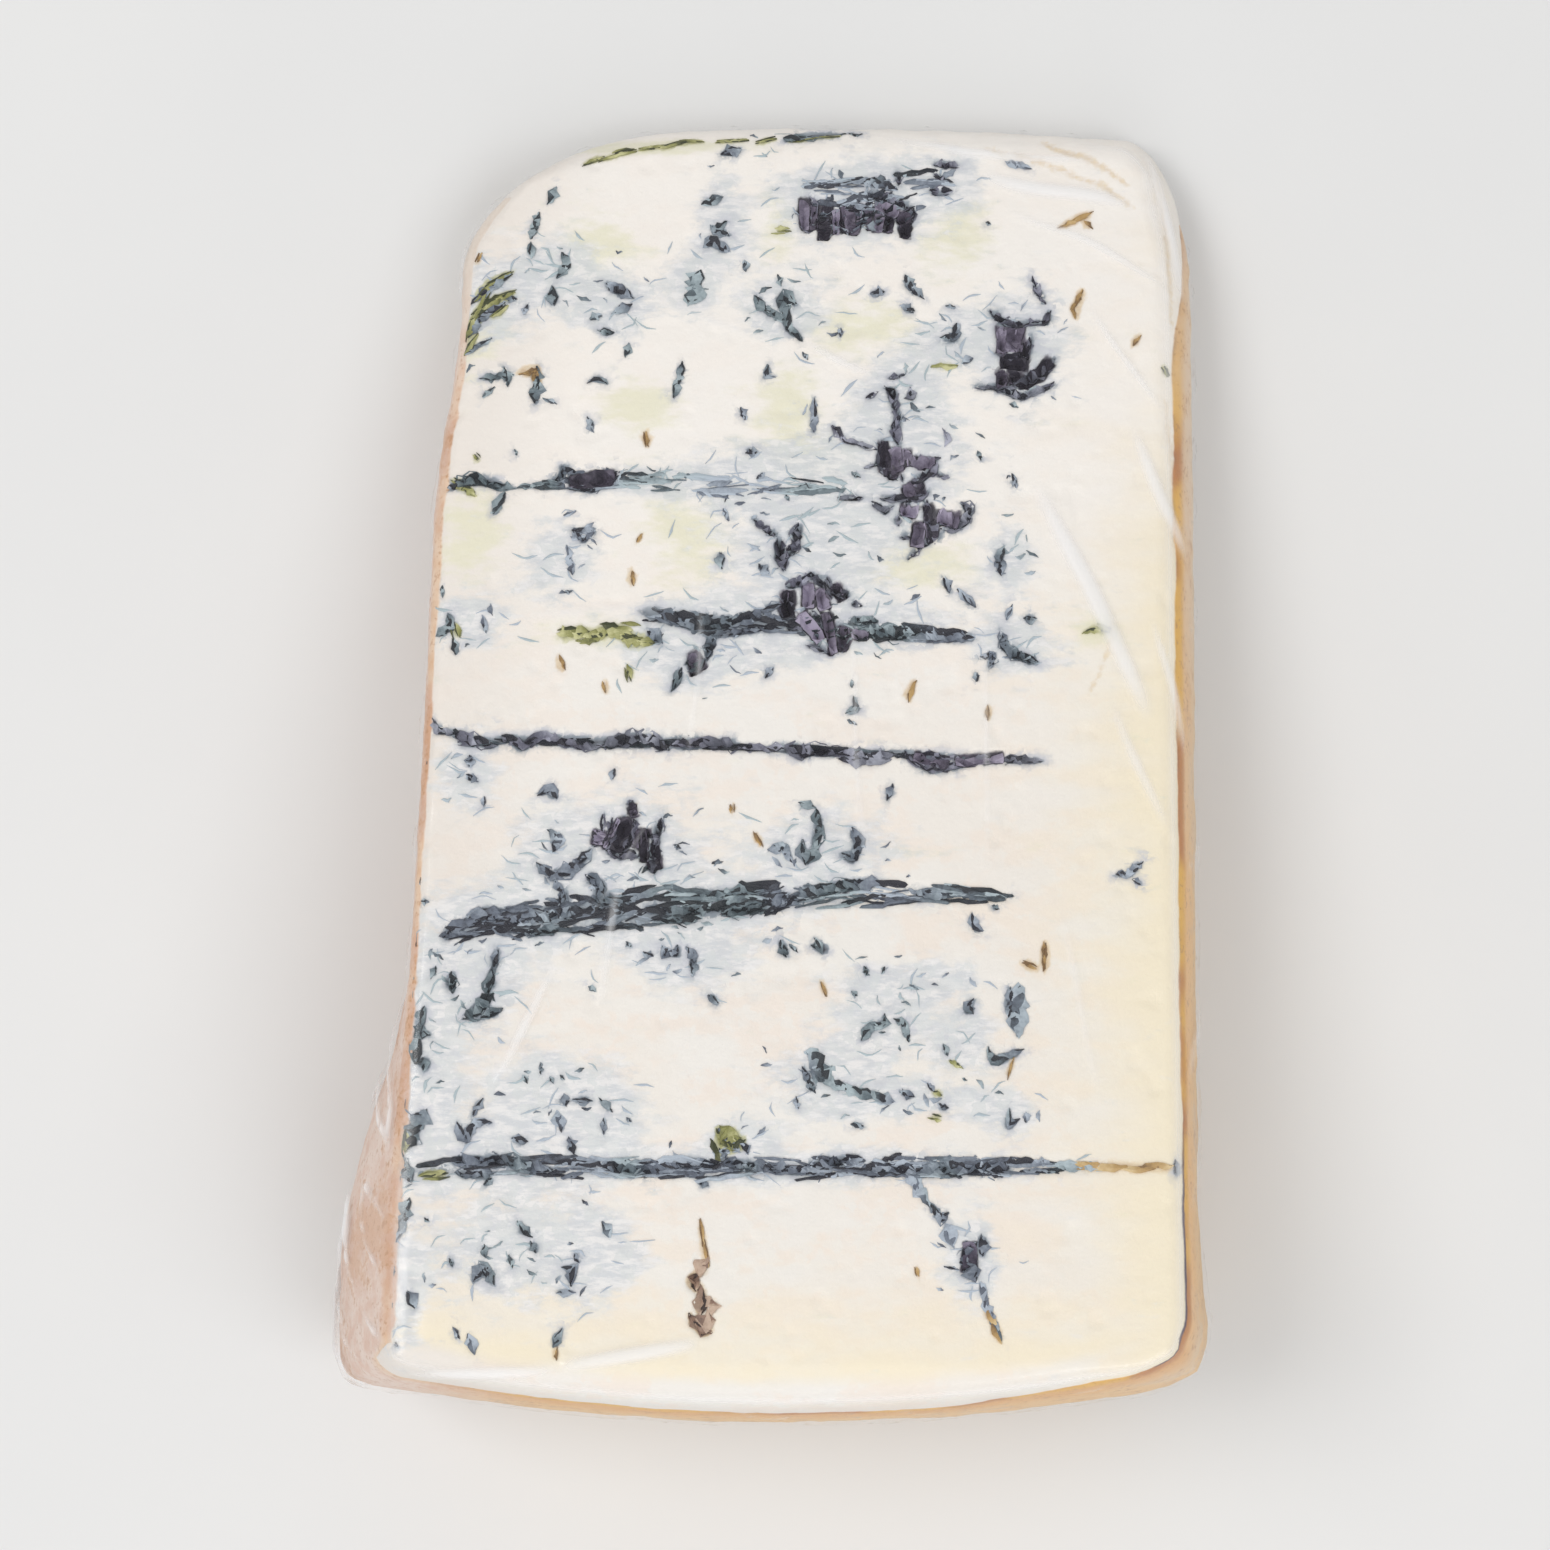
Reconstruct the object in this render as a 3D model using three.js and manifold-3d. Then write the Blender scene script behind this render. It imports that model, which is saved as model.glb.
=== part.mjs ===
// A wedge of blue-veined cheese in millimetres, +Z up: it lies on one cut face, with its rind heel
// at -Y, its blunt tip at +Y and its other cut face sloping up towards the heel.
import * as THREE from "three";
import { mergeVertices } from "three/addons/utils/BufferGeometryUtils.js";
import Module from "manifold-3d";

const wasm = await Module();
wasm.setup();

// Wedge body
const FACE_LENGTH = 146; // cut face from heel to tip, seen from above, before the ends are bowed
const FACE_WIDTH = 89.6; // cut face from rind to rind at the middle of its length
const FACE_MIDDLE = [3, 5.9]; // middle of the cut face, from the point that the marks are placed by
const HEEL_HEIGHT = 46.5; // cut face above the rest face at the heel
const TIP_HEIGHT = 9; // and at the tip
const FACE_CROWN = 0.9; // swell of the cut face at its middle
const TAPER = 0.02; // share of the width lost towards the tip and gained towards the heel
const SKEW = 1.7; // how far the tip leans to +X and the heel to -X
const LEFT_PINCH = 2; // how far the left edge draws in beside the tip
const LEFT_PINCH_SPAN = [30, 58]; // it starts to draw in at the first Y and is full at the second
const HEEL_BOW = 4.8; // the heel edge bows out by this at its middle
const TIP_BOW = 2; // and the tip edge by this
const CORNERS = {
  tipLeft: [27, 17],
  tipRight: [7, 25],
  heelLeft: [3.5, 4],
  heelRight: [7, 6],
}; // reach of each rounded corner along X and along Y
const FACE_EDGE_RADIUS = 2.2; // rounding between the cut face and the rind
const REST_EDGE_RADIUS = 3.4; // rounding between the rest face and the rind
const TIP_EDGE_RADIUS = 3.8; // rounding of both edges at the tip
const TIP_EDGE_SPAN = [0.8, 0.97]; // shares of the half length over which the edges pass into it

// Soft sides
const HEEL_LEAN = 6; // foot of the heel ahead of its top edge, as on a sector of a round wheel
const HEEL_BELLY = 1.5; // extra swell of the heel at half height
const RIGHT_BELLY = 3.7; // swell of the right rind at half height
const RIGHT_FOOT = 3.6; // spread of the right rind at the heel corner
const LEFT_BELLY = 1.2; // swell of the left rind beside the tip
const LEFT_FOOT = 7.7; // spread of the left rind beside the heel
const LEFT_SPREAD = [-19.5, -57]; // the left rind starts to spread at the first Y and is full at the second
const RIGHT_SPREAD = [-51, -75]; // and so does the right one
const SAG_TURN = 2.4; // angle in radians of the sine that a sagging side follows from top to foot
const SIDE_FADE = 4; // power by which a side's swell fades towards the middle of the width
const HEEL_FADE = 6; // and the heel's towards the middle of the length

// Mesh of the body: cells along X, Y and Z, drawn closer together towards the edges
const CELLS = [20, 28, 8];
const WELD_DISTANCE = 1e-4; // corners closer than this are one

// Needle tracks, from [x, y] to [x, y] on the cut face, each with its half width and depth
const TRACKS = [
  { from: [-43, 35.2], to: [-17.5, 35.8], halfWidth: 0.9, depth: 1.6 },
  { from: [-18, 17.2], to: [31, 15.6], halfWidth: 1.2, depth: 2.2 },
  { from: [-44, 5.9], to: [32, 1.5], halfWidth: 1.0, depth: 2.2 },
  { from: [-41, -17.2], to: [29, -14.3], halfWidth: 1.9, depth: 2.8 },
  { from: [-46, -45.4], to: [51, -45.2], halfWidth: 1.35, depth: 2.4 },
];
const TRACK_SIDES = 8;
const TRACK_STEPS = 22;
const TRACK_WOBBLE = 0.3; // how far a track wanders off its line
const TRACK_WOBBLE_TURN = 11; // angle in radians of the sine that it wanders by from end to end
const TRACK_SWELL = 0.25; // share by which a track's thickness varies
const TRACK_SWELL_TURN = 9; // angle in radians of the sine that it varies by from end to end
const TRACK_BLUNTNESS = 8; // power of the curve that closes a track's ends
const TRACK_LIFT = 0.2; // share of its depth by which a track's middle lies above the cut face

// Hollows where mould has opened the paste: middle, size along and across, turn in degrees, depth
const HOLLOWS = [
  { at: [9.9, 70.3], size: [13.4, 6.6], turn: 4, depth: 3.2 },
  { at: [29.6, 51.8], size: [9.6, 5.6], turn: 98, depth: 4.2 },
  { at: [14.6, 42.6], size: [8.2, 2.6], turn: 96, depth: 2.8 },
  { at: [15.7, 36.6], size: [8.6, 4.2], turn: 118, depth: 4.4 },
  { at: [18.4, 30.2], size: [8.8, 5.2], turn: 122, depth: 4.4 },
  { at: [1.2, 27.6], size: [6.2, 2.8], turn: 112, depth: 3.0 },
  { at: [4.8, 19.6], size: [9.4, 7.4], turn: 62, depth: 4.2 },
  { at: [-10.4, 14.4], size: [6.6, 3.0], turn: 70, depth: 2.8 },
  { at: [-22.2, 35.9], size: [7.6, 3.0], turn: 2, depth: 2.8 },
  { at: [-16.8, -7.2], size: [8.8, 6.4], turn: 112, depth: 4.2 },
  { at: [5.6, -8.2], size: [8.4, 2.4], turn: 84, depth: 2.8 },
  { at: [-34.2, -24.4], size: [9.2, 2.2], turn: 68, depth: 3.2 },
  { at: [-8.0, -58.6], size: [13.4, 2.6], turn: 94, depth: 3.4 },
  { at: [21.8, -55.0], size: [17.4, 2.2], turn: 118, depth: 2.6 },
  { at: [-41.4, -40.8], size: [8.0, 3.6], turn: 72, depth: 2.8 },
];
const HOLLOW_ROUGHNESS = 0.3; // share by which a hollow's radius varies from corner to corner
const HOLLOW_LIFT = 0.12; // share of its depth by which a hollow's middle lies above the cut face
const SEED = 1881;

const HALF_LENGTH = FACE_LENGTH / 2;
const HALF_WIDTH = FACE_WIDTH / 2;

// A repeatable stream of numbers from 0 to 1.
function randomStream(seed) {
  let state = seed;
  return () => {
    state = (Math.imul(state, 1664525) + 1013904223) >>> 0;
    return state / 2 ** 32;
  };
}

// 0 before `start`, 1 after `end`, with a smooth ramp between them.
function ramp(value, start, end) {
  const share = THREE.MathUtils.clamp((value - start) / (end - start), 0, 1);
  return share * share * (3 - 2 * share);
}

// Height of the upper cut face, which slopes from the heel down to the tip and swells a little
// towards its middle.
function faceHeight(x, y) {
  const u = THREE.MathUtils.clamp((x - FACE_MIDDLE[0]) / HALF_WIDTH, -1, 1);
  const v = THREE.MathUtils.clamp((y - FACE_MIDDLE[1]) / HALF_LENGTH, -1, 1);
  const slope = THREE.MathUtils.lerp(HEEL_HEIGHT, TIP_HEIGHT, (v + 1) / 2);
  return slope + FACE_CROWN * (1 - u * u) * (1 - v * v);
}

// Pulls a point of the plain rectangle into one with elliptical corners.
function roundCorner(x, y) {
  const end = y > 0 ? "tip" : "heel";
  const [reachX, reachY] = CORNERS[end + (x > 0 ? "Right" : "Left")];
  const inX = Math.max(0, Math.abs(x) - (HALF_WIDTH - reachX)) / reachX;
  const inY = Math.max(0, Math.abs(y) - (HALF_LENGTH - reachY)) / reachY;
  const roundX = inX * Math.sqrt(1 - (inY * inY) / 2);
  const roundY = inY * Math.sqrt(1 - (inX * inX) / 2);
  return [
    x + Math.sign(x) * (roundX - inX) * reachX,
    y + Math.sign(y) * (roundY - inY) * reachY,
  ];
}

// How far the soft sides stand out beyond the cut face's edge, along X and Y, at a share of the
// height: 0 at the rest face, 1 at the cut face.
function sideSwell(across, along, y, share) {
  const sag = Math.sin((1 - share) * SAG_TURN);
  const belly = 4 * share * (1 - share);
  const left = LEFT_BELLY * belly + LEFT_FOOT * sag * ramp(y, ...LEFT_SPREAD);
  const right = RIGHT_BELLY * belly + RIGHT_FOOT * sag * ramp(y, ...RIGHT_SPREAD);
  const heel = HEEL_LEAN * (1 - share * share) + HEEL_BELLY * belly;
  const swellX = across > 0 ? right : -left;
  const swellY = along > 0 ? 0 : -heel;
  return [swellX * across ** SIDE_FADE, swellY * along ** HEEL_FADE];
}

// Carries a point of the cube from -1 to 1 onto the wedge: its edges are rolled over, its outline
// rounded, skewed and bowed, its sides swollen, and its height made the wedge's.
function wedgePoint(across, along, up) {
  const plainX = across * HALF_WIDTH + FACE_MIDDLE[0];
  const plainY = along * HALF_LENGTH + FACE_MIDDLE[1];
  const halfHeight = faceHeight(plainX, plainY) / 2;
  const sideRadius = up > 0 ? FACE_EDGE_RADIUS : REST_EDGE_RADIUS;
  const radius = THREE.MathUtils.lerp(sideRadius, TIP_EDGE_RADIUS, ramp(along, ...TIP_EDGE_SPAN));
  const overX = Math.max(0, Math.abs(across) * HALF_WIDTH - HALF_WIDTH + radius);
  const overY = Math.max(0, Math.abs(along) * HALF_LENGTH - HALF_LENGTH + radius);
  const overZ = Math.max(0, Math.abs(up) * halfHeight - halfHeight + radius);
  const overSide = Math.max(overX, overY);
  const pull = overSide > 0 && overZ > 0 ? radius / Math.hypot(overSide, overZ) - 1 : 0;

  const rolledX = across * HALF_WIDTH + Math.sign(across) * overX * pull;
  const rolledY = along * HALF_LENGTH + Math.sign(along) * overY * pull;
  const rolledZ = up * halfHeight + Math.sign(up) * overZ * pull;
  const share = (rolledZ + halfHeight) / (2 * halfHeight);

  const [roundX, roundY] = roundCorner(rolledX, rolledY);
  const v = roundY / HALF_LENGTH;
  const u = roundX / HALF_WIDTH;
  const bow = (1 - u * u) * (TIP_BOW * ramp(v, 0, 1) - HEEL_BOW * ramp(v, 0, -1));
  const [swellX, swellY] = sideSwell(across, along, roundY + FACE_MIDDLE[1], share);
  const pinch = LEFT_PINCH * ramp(roundY + FACE_MIDDLE[1], ...LEFT_PINCH_SPAN) * ((1 - u) / 2);
  const x = roundX * (1 - TAPER * v) + SKEW * v + pinch + swellX + FACE_MIDDLE[0];
  const y = roundY + bow + swellY + FACE_MIDDLE[1];
  return [x, y, share * faceHeight(x, y)];
}

// Merges the shared corners of a geometry, so that only its positions and triangles are left.
function weld(geometry) {
  geometry.deleteAttribute("normal");
  geometry.deleteAttribute("uv");
  return mergeVertices(geometry, WELD_DISTANCE);
}

// Moves every vertex of a geometry to where `place` puts it.
function reshape(geometry, place) {
  const position = geometry.attributes.position;
  for (let i = 0; i < position.count; i++) {
    position.setXYZ(i, ...place(position.getX(i), position.getY(i), position.getZ(i), i));
  }
  return geometry;
}

function toSolid(geometry) {
  const vertProperties = Float32Array.from(geometry.attributes.position.array);
  const triVerts = Uint32Array.from(geometry.index.array);
  return new wasm.Manifold(new wasm.Mesh({ numProp: 3, vertProperties, triVerts }));
}

// The uncut wedge: a cube of cells whose lines crowd towards its edges.
function wedgeBody() {
  const crowd = (t) => Math.sin((t * Math.PI) / 2);
  const cube = weld(new THREE.BoxGeometry(2, 2, 2, ...CELLS));
  return reshape(cube, (x, y, z) => wedgePoint(crowd(x), crowd(y), crowd(z)));
}

// A needle track: a spindle with its middle on the cut face, which leaves an open groove there.
function needleTrack({ from, to, halfWidth, depth }, random) {
  const profile = [];
  for (let i = 0; i <= TRACK_STEPS; i++) {
    const t = (2 * i) / TRACK_STEPS - 1;
    profile.push(new THREE.Vector2(Math.sqrt(Math.max(0, 1 - t ** TRACK_BLUNTNESS)), t));
  }
  profile[0].x = 0;
  profile[TRACK_STEPS].x = 0;
  const phase = random() * 2 * Math.PI;
  const swellPhase = random() * 2 * Math.PI;
  const spindle = weld(new THREE.LatheGeometry(profile, TRACK_SIDES, Math.PI / TRACK_SIDES));
  return reshape(spindle, (side, t, down) => {
    const share = (t + 1) / 2;
    const swell = 1 + TRACK_SWELL * Math.sin(TRACK_SWELL_TURN * share + swellPhase);
    const wander = TRACK_WOBBLE * Math.sin(TRACK_WOBBLE_TURN * share + phase);
    const x = THREE.MathUtils.lerp(from[0], to[0], share);
    const y = THREE.MathUtils.lerp(from[1], to[1], share) + wander - side * halfWidth * swell;
    return [x, y, faceHeight(x, y) + (down * swell + TRACK_LIFT) * depth];
  });
}

// An opened hollow: a faceted ball with uneven corners, flattened, turned and set into the cut face.
function hollow({ at, size, turn, depth }, random) {
  const ball = weld(new THREE.IcosahedronGeometry(1, 1));
  const angle = THREE.MathUtils.degToRad(turn);
  return reshape(ball, (a, b, c) => {
    const uneven = 1 + HOLLOW_ROUGHNESS * (2 * random() - 1);
    const along = (a * uneven * size[0]) / 2;
    const across = (b * uneven * size[1]) / 2;
    const x = at[0] + along * Math.cos(angle) - across * Math.sin(angle);
    const y = at[1] + along * Math.sin(angle) + across * Math.cos(angle);
    return [x, y, faceHeight(x, y) + (c * uneven + HOLLOW_LIFT) * depth];
  });
}

// The wedge with its tracks and hollows cut, moved so that its box stands centred on the origin.
function cheeseGeometry() {
  const random = randomStream(SEED);
  let solid = toSolid(wedgeBody());
  for (const track of TRACKS) {
    solid = solid.subtract(toSolid(needleTrack(track, random)));
  }
  for (const opening of HOLLOWS) {
    solid = solid.subtract(toSolid(hollow(opening, random)));
  }
  const mesh = solid.getMesh();
  const geometry = new THREE.BufferGeometry();
  geometry.setAttribute("position", new THREE.BufferAttribute(mesh.vertProperties, 3));
  geometry.setIndex(new THREE.BufferAttribute(mesh.triVerts, 1));
  geometry.computeBoundingBox();
  const { min, max } = geometry.boundingBox;
  geometry.translate(-(min.x + max.x) / 2, -(min.y + max.y) / 2, -min.z);
  geometry.computeVertexNormals();
  return geometry;
}

const paste = new THREE.MeshStandardMaterial({ color: 0xf4ead9, roughness: 0.55, metalness: 0 });
const cheese = new THREE.Mesh(cheeseGeometry(), paste);
cheese.name = "gorgonzola_wedge";

const wedge = new THREE.Group();
wedge.add(cheese);
export default wedge;
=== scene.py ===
"""Looks of a wedge of blue-veined cheese in clear film.

Sizes are in millimetres until a mesh is made. The wedge lies on its lower cut face; +Y runs from the
rind heel to the tip, and the needle tracks run along X. Places are measured from the point below the
camera, and the finished pieces are moved so that the middle of the wedge is at the origin. Marks on
the cut face are read from the photograph, in pixels of its 1550 by 1550 frame, and laid on the face
by the same camera.
"""
import math
from types import SimpleNamespace

import bpy
import numpy as np
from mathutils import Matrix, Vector


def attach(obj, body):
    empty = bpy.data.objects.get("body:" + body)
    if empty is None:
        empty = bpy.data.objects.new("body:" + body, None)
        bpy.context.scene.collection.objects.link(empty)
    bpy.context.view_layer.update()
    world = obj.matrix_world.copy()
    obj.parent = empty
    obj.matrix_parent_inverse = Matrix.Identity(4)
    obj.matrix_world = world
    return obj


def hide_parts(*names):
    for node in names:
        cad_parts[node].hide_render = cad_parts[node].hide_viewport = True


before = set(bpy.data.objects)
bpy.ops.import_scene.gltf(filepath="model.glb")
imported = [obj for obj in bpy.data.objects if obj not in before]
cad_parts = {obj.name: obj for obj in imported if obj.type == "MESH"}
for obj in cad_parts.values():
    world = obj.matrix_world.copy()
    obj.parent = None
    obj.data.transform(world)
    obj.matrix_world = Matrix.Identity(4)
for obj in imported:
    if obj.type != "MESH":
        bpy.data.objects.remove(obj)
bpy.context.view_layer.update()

NODE = "gorgonzola_wedge"
MM = 0.001

# Wedge body, as in the solid
FACE_LENGTH = 146.0
FACE_WIDTH = 89.6
FACE_MIDDLE = (3.0, 5.9)
HEEL_HEIGHT = 46.5
TIP_HEIGHT = 9.0
FACE_CROWN = 0.9
TAPER = 0.02
SKEW = 1.7
LEFT_PINCH = 2.0
LEFT_PINCH_SPAN = (30, 58)
HEEL_BOW = 4.8
TIP_BOW = 2.0
CORNERS = {"tip_left": (27, 17), "tip_right": (7, 25), "heel_left": (3.5, 4), "heel_right": (7, 6)}
FACE_EDGE_RADIUS = 2.2
REST_EDGE_RADIUS = 3.4
TIP_EDGE_RADIUS = 3.8
TIP_EDGE_SPAN = (0.8, 0.97)
HEEL_LEAN = 6.0
HEEL_BELLY = 1.5
RIGHT_BELLY = 3.7
RIGHT_FOOT = 3.6
LEFT_BELLY = 1.2
LEFT_FOOT = 7.7
LEFT_SPREAD = (-19.5, -57)
RIGHT_SPREAD = (-51, -75)
SAG_TURN = 2.4
HALF_LENGTH = FACE_LENGTH / 2
HALF_WIDTH = FACE_WIDTH / 2

# Camera: straight down, with the photograph's frame
CAMERA_HEIGHT = 462.7
CAMERA_LENS = 85.0
SENSOR = 36.0
FRAME_PIXELS = 1550
FOCAL_PIXELS = CAMERA_LENS / SENSOR * FRAME_PIXELS

# Meshes: cells across and along the cut face and levels down the sides, gaps between the pieces, how
# far the levels crowd towards the edges, and the rounds and step of the search for a place
CHEESE_CELLS = (220, 352, 28)
FILM_CELLS = (220, 352, 28)
FILM_GAP = 0.14
CHEESE_LIFT = 0.12
LEVEL_CROWDING = 0.4
PLACE_ROUNDS = 16
NORMAL_STEP = 0.004

# Relief of the cut face: depth of each kind of mark, how its edge is bent and fades, and the crumb
# between the marks
MARK_REACH = 3.0
TRACK_DEPTH = 1.5
HOLLOW_DEPTH = 2.2
FLECK_DEPTH = 0.8
SPOT_DEPTH = 0.3
HOLLOW_MARGIN = 0.15
POINT_LENGTH = 1.1
POINT_WIDTH = 0.25
EDGE_BEND = 0.22
EDGE_LUMP = 2.4
EDGE_FACET = 1.5
EDGE_SLOPE = (0.25, -0.7)
EDGE_FADE = 0.9
BLOOM_FADE = 1.1
BLOOM_LEAST = 0.15
BLOOM_BY_DARK = 0.6
FACET_SLANT = 0.8
BROKEN_FACET = 1.7
BROKEN_SHARE = 0.5
BROKEN_SHIFT = 0.4
BROKEN_SHIFT_LUMP = 2.0
CRUMB_DEPTH = 0.2
CRUMB_LUMP = 5.0
CRUMB_LUMP_SHARE = 0.5
CRUMB_GRAIN = 1.1
CRUMB_GRAIN_SHARE = 0.2
PIT_DEPTH = 0.15
PIT_LUMP = 2.6
PIT_SPAN = (0.4, 0.62)

# Where one side passes into the next: spans of the normal's height for the cut face and the base, and
# shares of the wedge's length for the tip and the heel
FACE_TURN = (0.15, 0.5)
FILM_FACE_TURN = (0.25, 0.75)
BASE_TURN = (-0.4, -0.9)
TIP_TURN = (0.985, 0.998)
HEEL_TURN = (0.97, 0.99)

# Rind: its roughness, how far below the cut face it starts at the heel, the tip and the right, and the
# unevenness of its upper rim
RIND_DEPTH = 0.3
RIND_LUMP = 7.0
RIND_GRAIN = 1.8
RIND_GRAIN_SHARE = 0.5
HEEL_ROLL = 4.2
HEEL_ROLL_LESS = 3.4
HEEL_ROLL_SPAN = (0.3, 0.8)
TIP_ROLL_RIGHT = 2.5
TIP_ROLL_RIGHT_SPAN = (0.6, 0.95)
TIP_ROLL = 4.0
TIP_ROLL_SPAN = (0.93, 0.97)
RIGHT_ROLL = 0.5
RIGHT_ROLL_SPAN = (0.95, 0.98)
RIM_WAVE = 0.16
RIM_WAVE_LUMP = 5.0
RIM_GRAIN = 0.1
RIM_GRAIN_LUMP = 1.6
UNDER_SCALE = 10.0

# Spread of the tints: along Y in millimetres, or in shares of the wedge's width and length, with the
# least that is left at the end of a spread
HEELWARD_SPAN = (45, -20)
BUTTER_FROM_HEEL = 11.0
# Painted highlight: the butter dies away over this span, so the heel's rolled edge stays pale
HEEL_PAINTED_HIGHLIGHT_SPAN = (-0.99, -0.94)
BUTTER_FROM_RIGHT = 13.0
BUTTER_RIGHT_SPAN = (60, 0)
BUTTER_RIGHT_LEAST = 0.3
# Painted light: a pale share laid over the rind at the tip's left edge, which is seen edge-on and falls in
# shade
LIGHT_PAINTED_EDGE = 0.8
LIGHT_PAINTED_EDGE_TIP = (0.55, 0.8)
LIGHT_PAINTED_EDGE_LEFT = (0.3, 0.7)
# Painted shade: where a dark line, the shadow of a gap between paste and rind, is painted low on the right
GAP_SHADE_RIGHT = (0.9, 0.97)
GAP_SHADE_SPAN = (-38, -48)
GAP_SHADE_LEAST = 0.3
BLUSH_LEFT = (0.6, 0.95)
LINED_SPAN = (54, 40)
LINED_LEAST = 0.35

# Needle tracks on the underside: where each lies along Y
UNDERSIDE_TRACKS = (38.0, 18.0, -5.0, -26.0, -53.0)

# Film: bend of its folds, waves and ripples between them, lip along the edges of the cut face, and
# pleats down the sides. Folds, lip and pleats are drawn milk-white, partly the film's own whitening and
# partly a painted highlight along creases and edges
FOLD_BEND = 0.7
FOLD_BEND_LUMP = 14.0
WAVE_HEIGHT = 0.07
WAVE_LUMP = 9.0
RIPPLE_HEIGHT = 0.04
RIPPLE_LUMP = 3.0
LIP_HEIGHT = 0.22
LIP_DROP = 0.4
LIP_WIDTH = 0.35
LIP_RIGHT = (0.5, 0.9)
LIP_HEEL = (0.9, 0.98)
FOOT_LEFT = (0.9, 1.0)
FOOT_SPAN = (-15, -50)
PLEAT_SLANT = (0.3, 0.45)
PLEAT_LUMP = 6.0
PLEAT_STRETCH = 9.0
PLEAT_SHARPNESS = 11
PLEAT_HEIGHT = 0.2
PLEAT_HEIGHT_AT_FOOT = 0.3

# Slivers of mould: lengths and heights in millimetres, and chances as shares of the length, the half
# width or the shade
STATIONS = 6
SLIVER_LENGTH = 3.2
SLIVER_OVERLAP = 0.1
SLIVER_LIFT = 0.06
SLIVER_RIDGE = 0.16
SLIVER_KEEL = 0.3
SLIVER_END_WIDTH = 0.45
SLIVER_FULLNESS = 0.7
SLIVER_DRIFT = 0.35
SLIVER_SIDE = (0.4, 1.4)
SLIVER_POINT = 1.5
RIDGE_ASIDE = 0.4
RIDGE_SHARE = 0.35
SHADE_LEAN = 0.35
CORE_RISE = 0.12

# How much less a blunt sliver drifts, varies in width and reaches out at its points
BLUNT_DRIFT_LESS = 0.7
BLUNT_SIDE_LESS = 0.6
BLUNT_POINT_LESS = 1.3

# Facets in the hollows with their creases, some darker and some paler as painted highlights, and strands
# along the needle tracks
FACET_CONTRAST = 1.2
FACET_PALER = 0.15
FACET_LEAN = 0.2
FACET_WIDTH = 1.05
CREASES_PER_FACET = 3
CREASE_ASIDE = 0.9
CREASE_WIDTH = (0.06, 0.16)
CREASE_DARK_AND_HIGHLIGHT_TONES = (-0.4, 0.6)
STRANDS_PER_MM2 = 0.8
STRAND_LENGTH = (1.5, 6.5)
STRAND_WIDTH = (0.1, 0.42)
STRAND_FULL_WIDTH = 0.6
STRAND_SLANT = 0.8
STRAND_TONES = (-0.15, 0.1, 0.35, 0.6)
STRAND_TONE_SPREAD = 0.1

# Strokes strewn about the bloom: how many, length and half width in pixels, and how dark; then their
# spread over a cloud, turn and kink in radians, and the width of their middle
SMEARS = (500, (4, 14), (0.6, 1.4), (-0.45, 0.0))
FLECKS = (300, (2, 8), (1.0, 3.0), (0.0, 0.6))
STROKE_SPREAD = 0.62
STROKE_TURN = 0.6
STROKE_KINK = 1.0
STROKE_MIDDLE = 1.2

# Seeds of the random draws and of the noises
MOULD_SEED = 1881
SEEDS = {
    "rim_wave": 3, "rim_grain": 4, "slate": 31, "hollow": 41, "dried": 51, "olive": 71, "shift": 91,
    "broken": 93, "crumb": 141, "crumb_grain": 151, "pits": 161, "rind": 171, "rind_grain": 181,
    "folds": 201, "waves": 211, "ripples": 221, "pleats": 231,
}

# Layers of slivers in a mark: width and shade as shares of the mark's own, and how many of its half
# widths each sliver may lie aside
PLAIN = (1.0, 1.0, 0.0)
BED = (1.45, 0.45, 0.2)
CORE = (0.85, 1.25, 0.25)
OLIVE_BED = (0.8, 0.5, 0.5)
OLIVE_GRAINS = [(0.4, 1.3, 0.7), (0.35, 0.9, 1.3)]
OCHRE_GRAINS = [(0.7, 0.7, 0.4), (0.4, 1.2, 0.6)]

# Tints of mould: its pale, half dark and dark tones as screen colours
SLATE_TONES = ((178, 188, 200), (106, 114, 128), (39, 40, 50))
TEAL_TONES = ((172, 188, 190), (96, 112, 116), (37, 45, 49))
MOULD_TONES = {
    "violet": ((176, 168, 188), (116, 108, 126), (49, 45, 57)),
    "ochre": ((216, 192, 146), (184, 150, 96), (120, 92, 58)),
    "olive": ((202, 200, 150), (142, 142, 86), (62, 66, 42)),
    "brown": ((200, 176, 156), (146, 118, 102), (64, 51, 48)),
}

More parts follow.
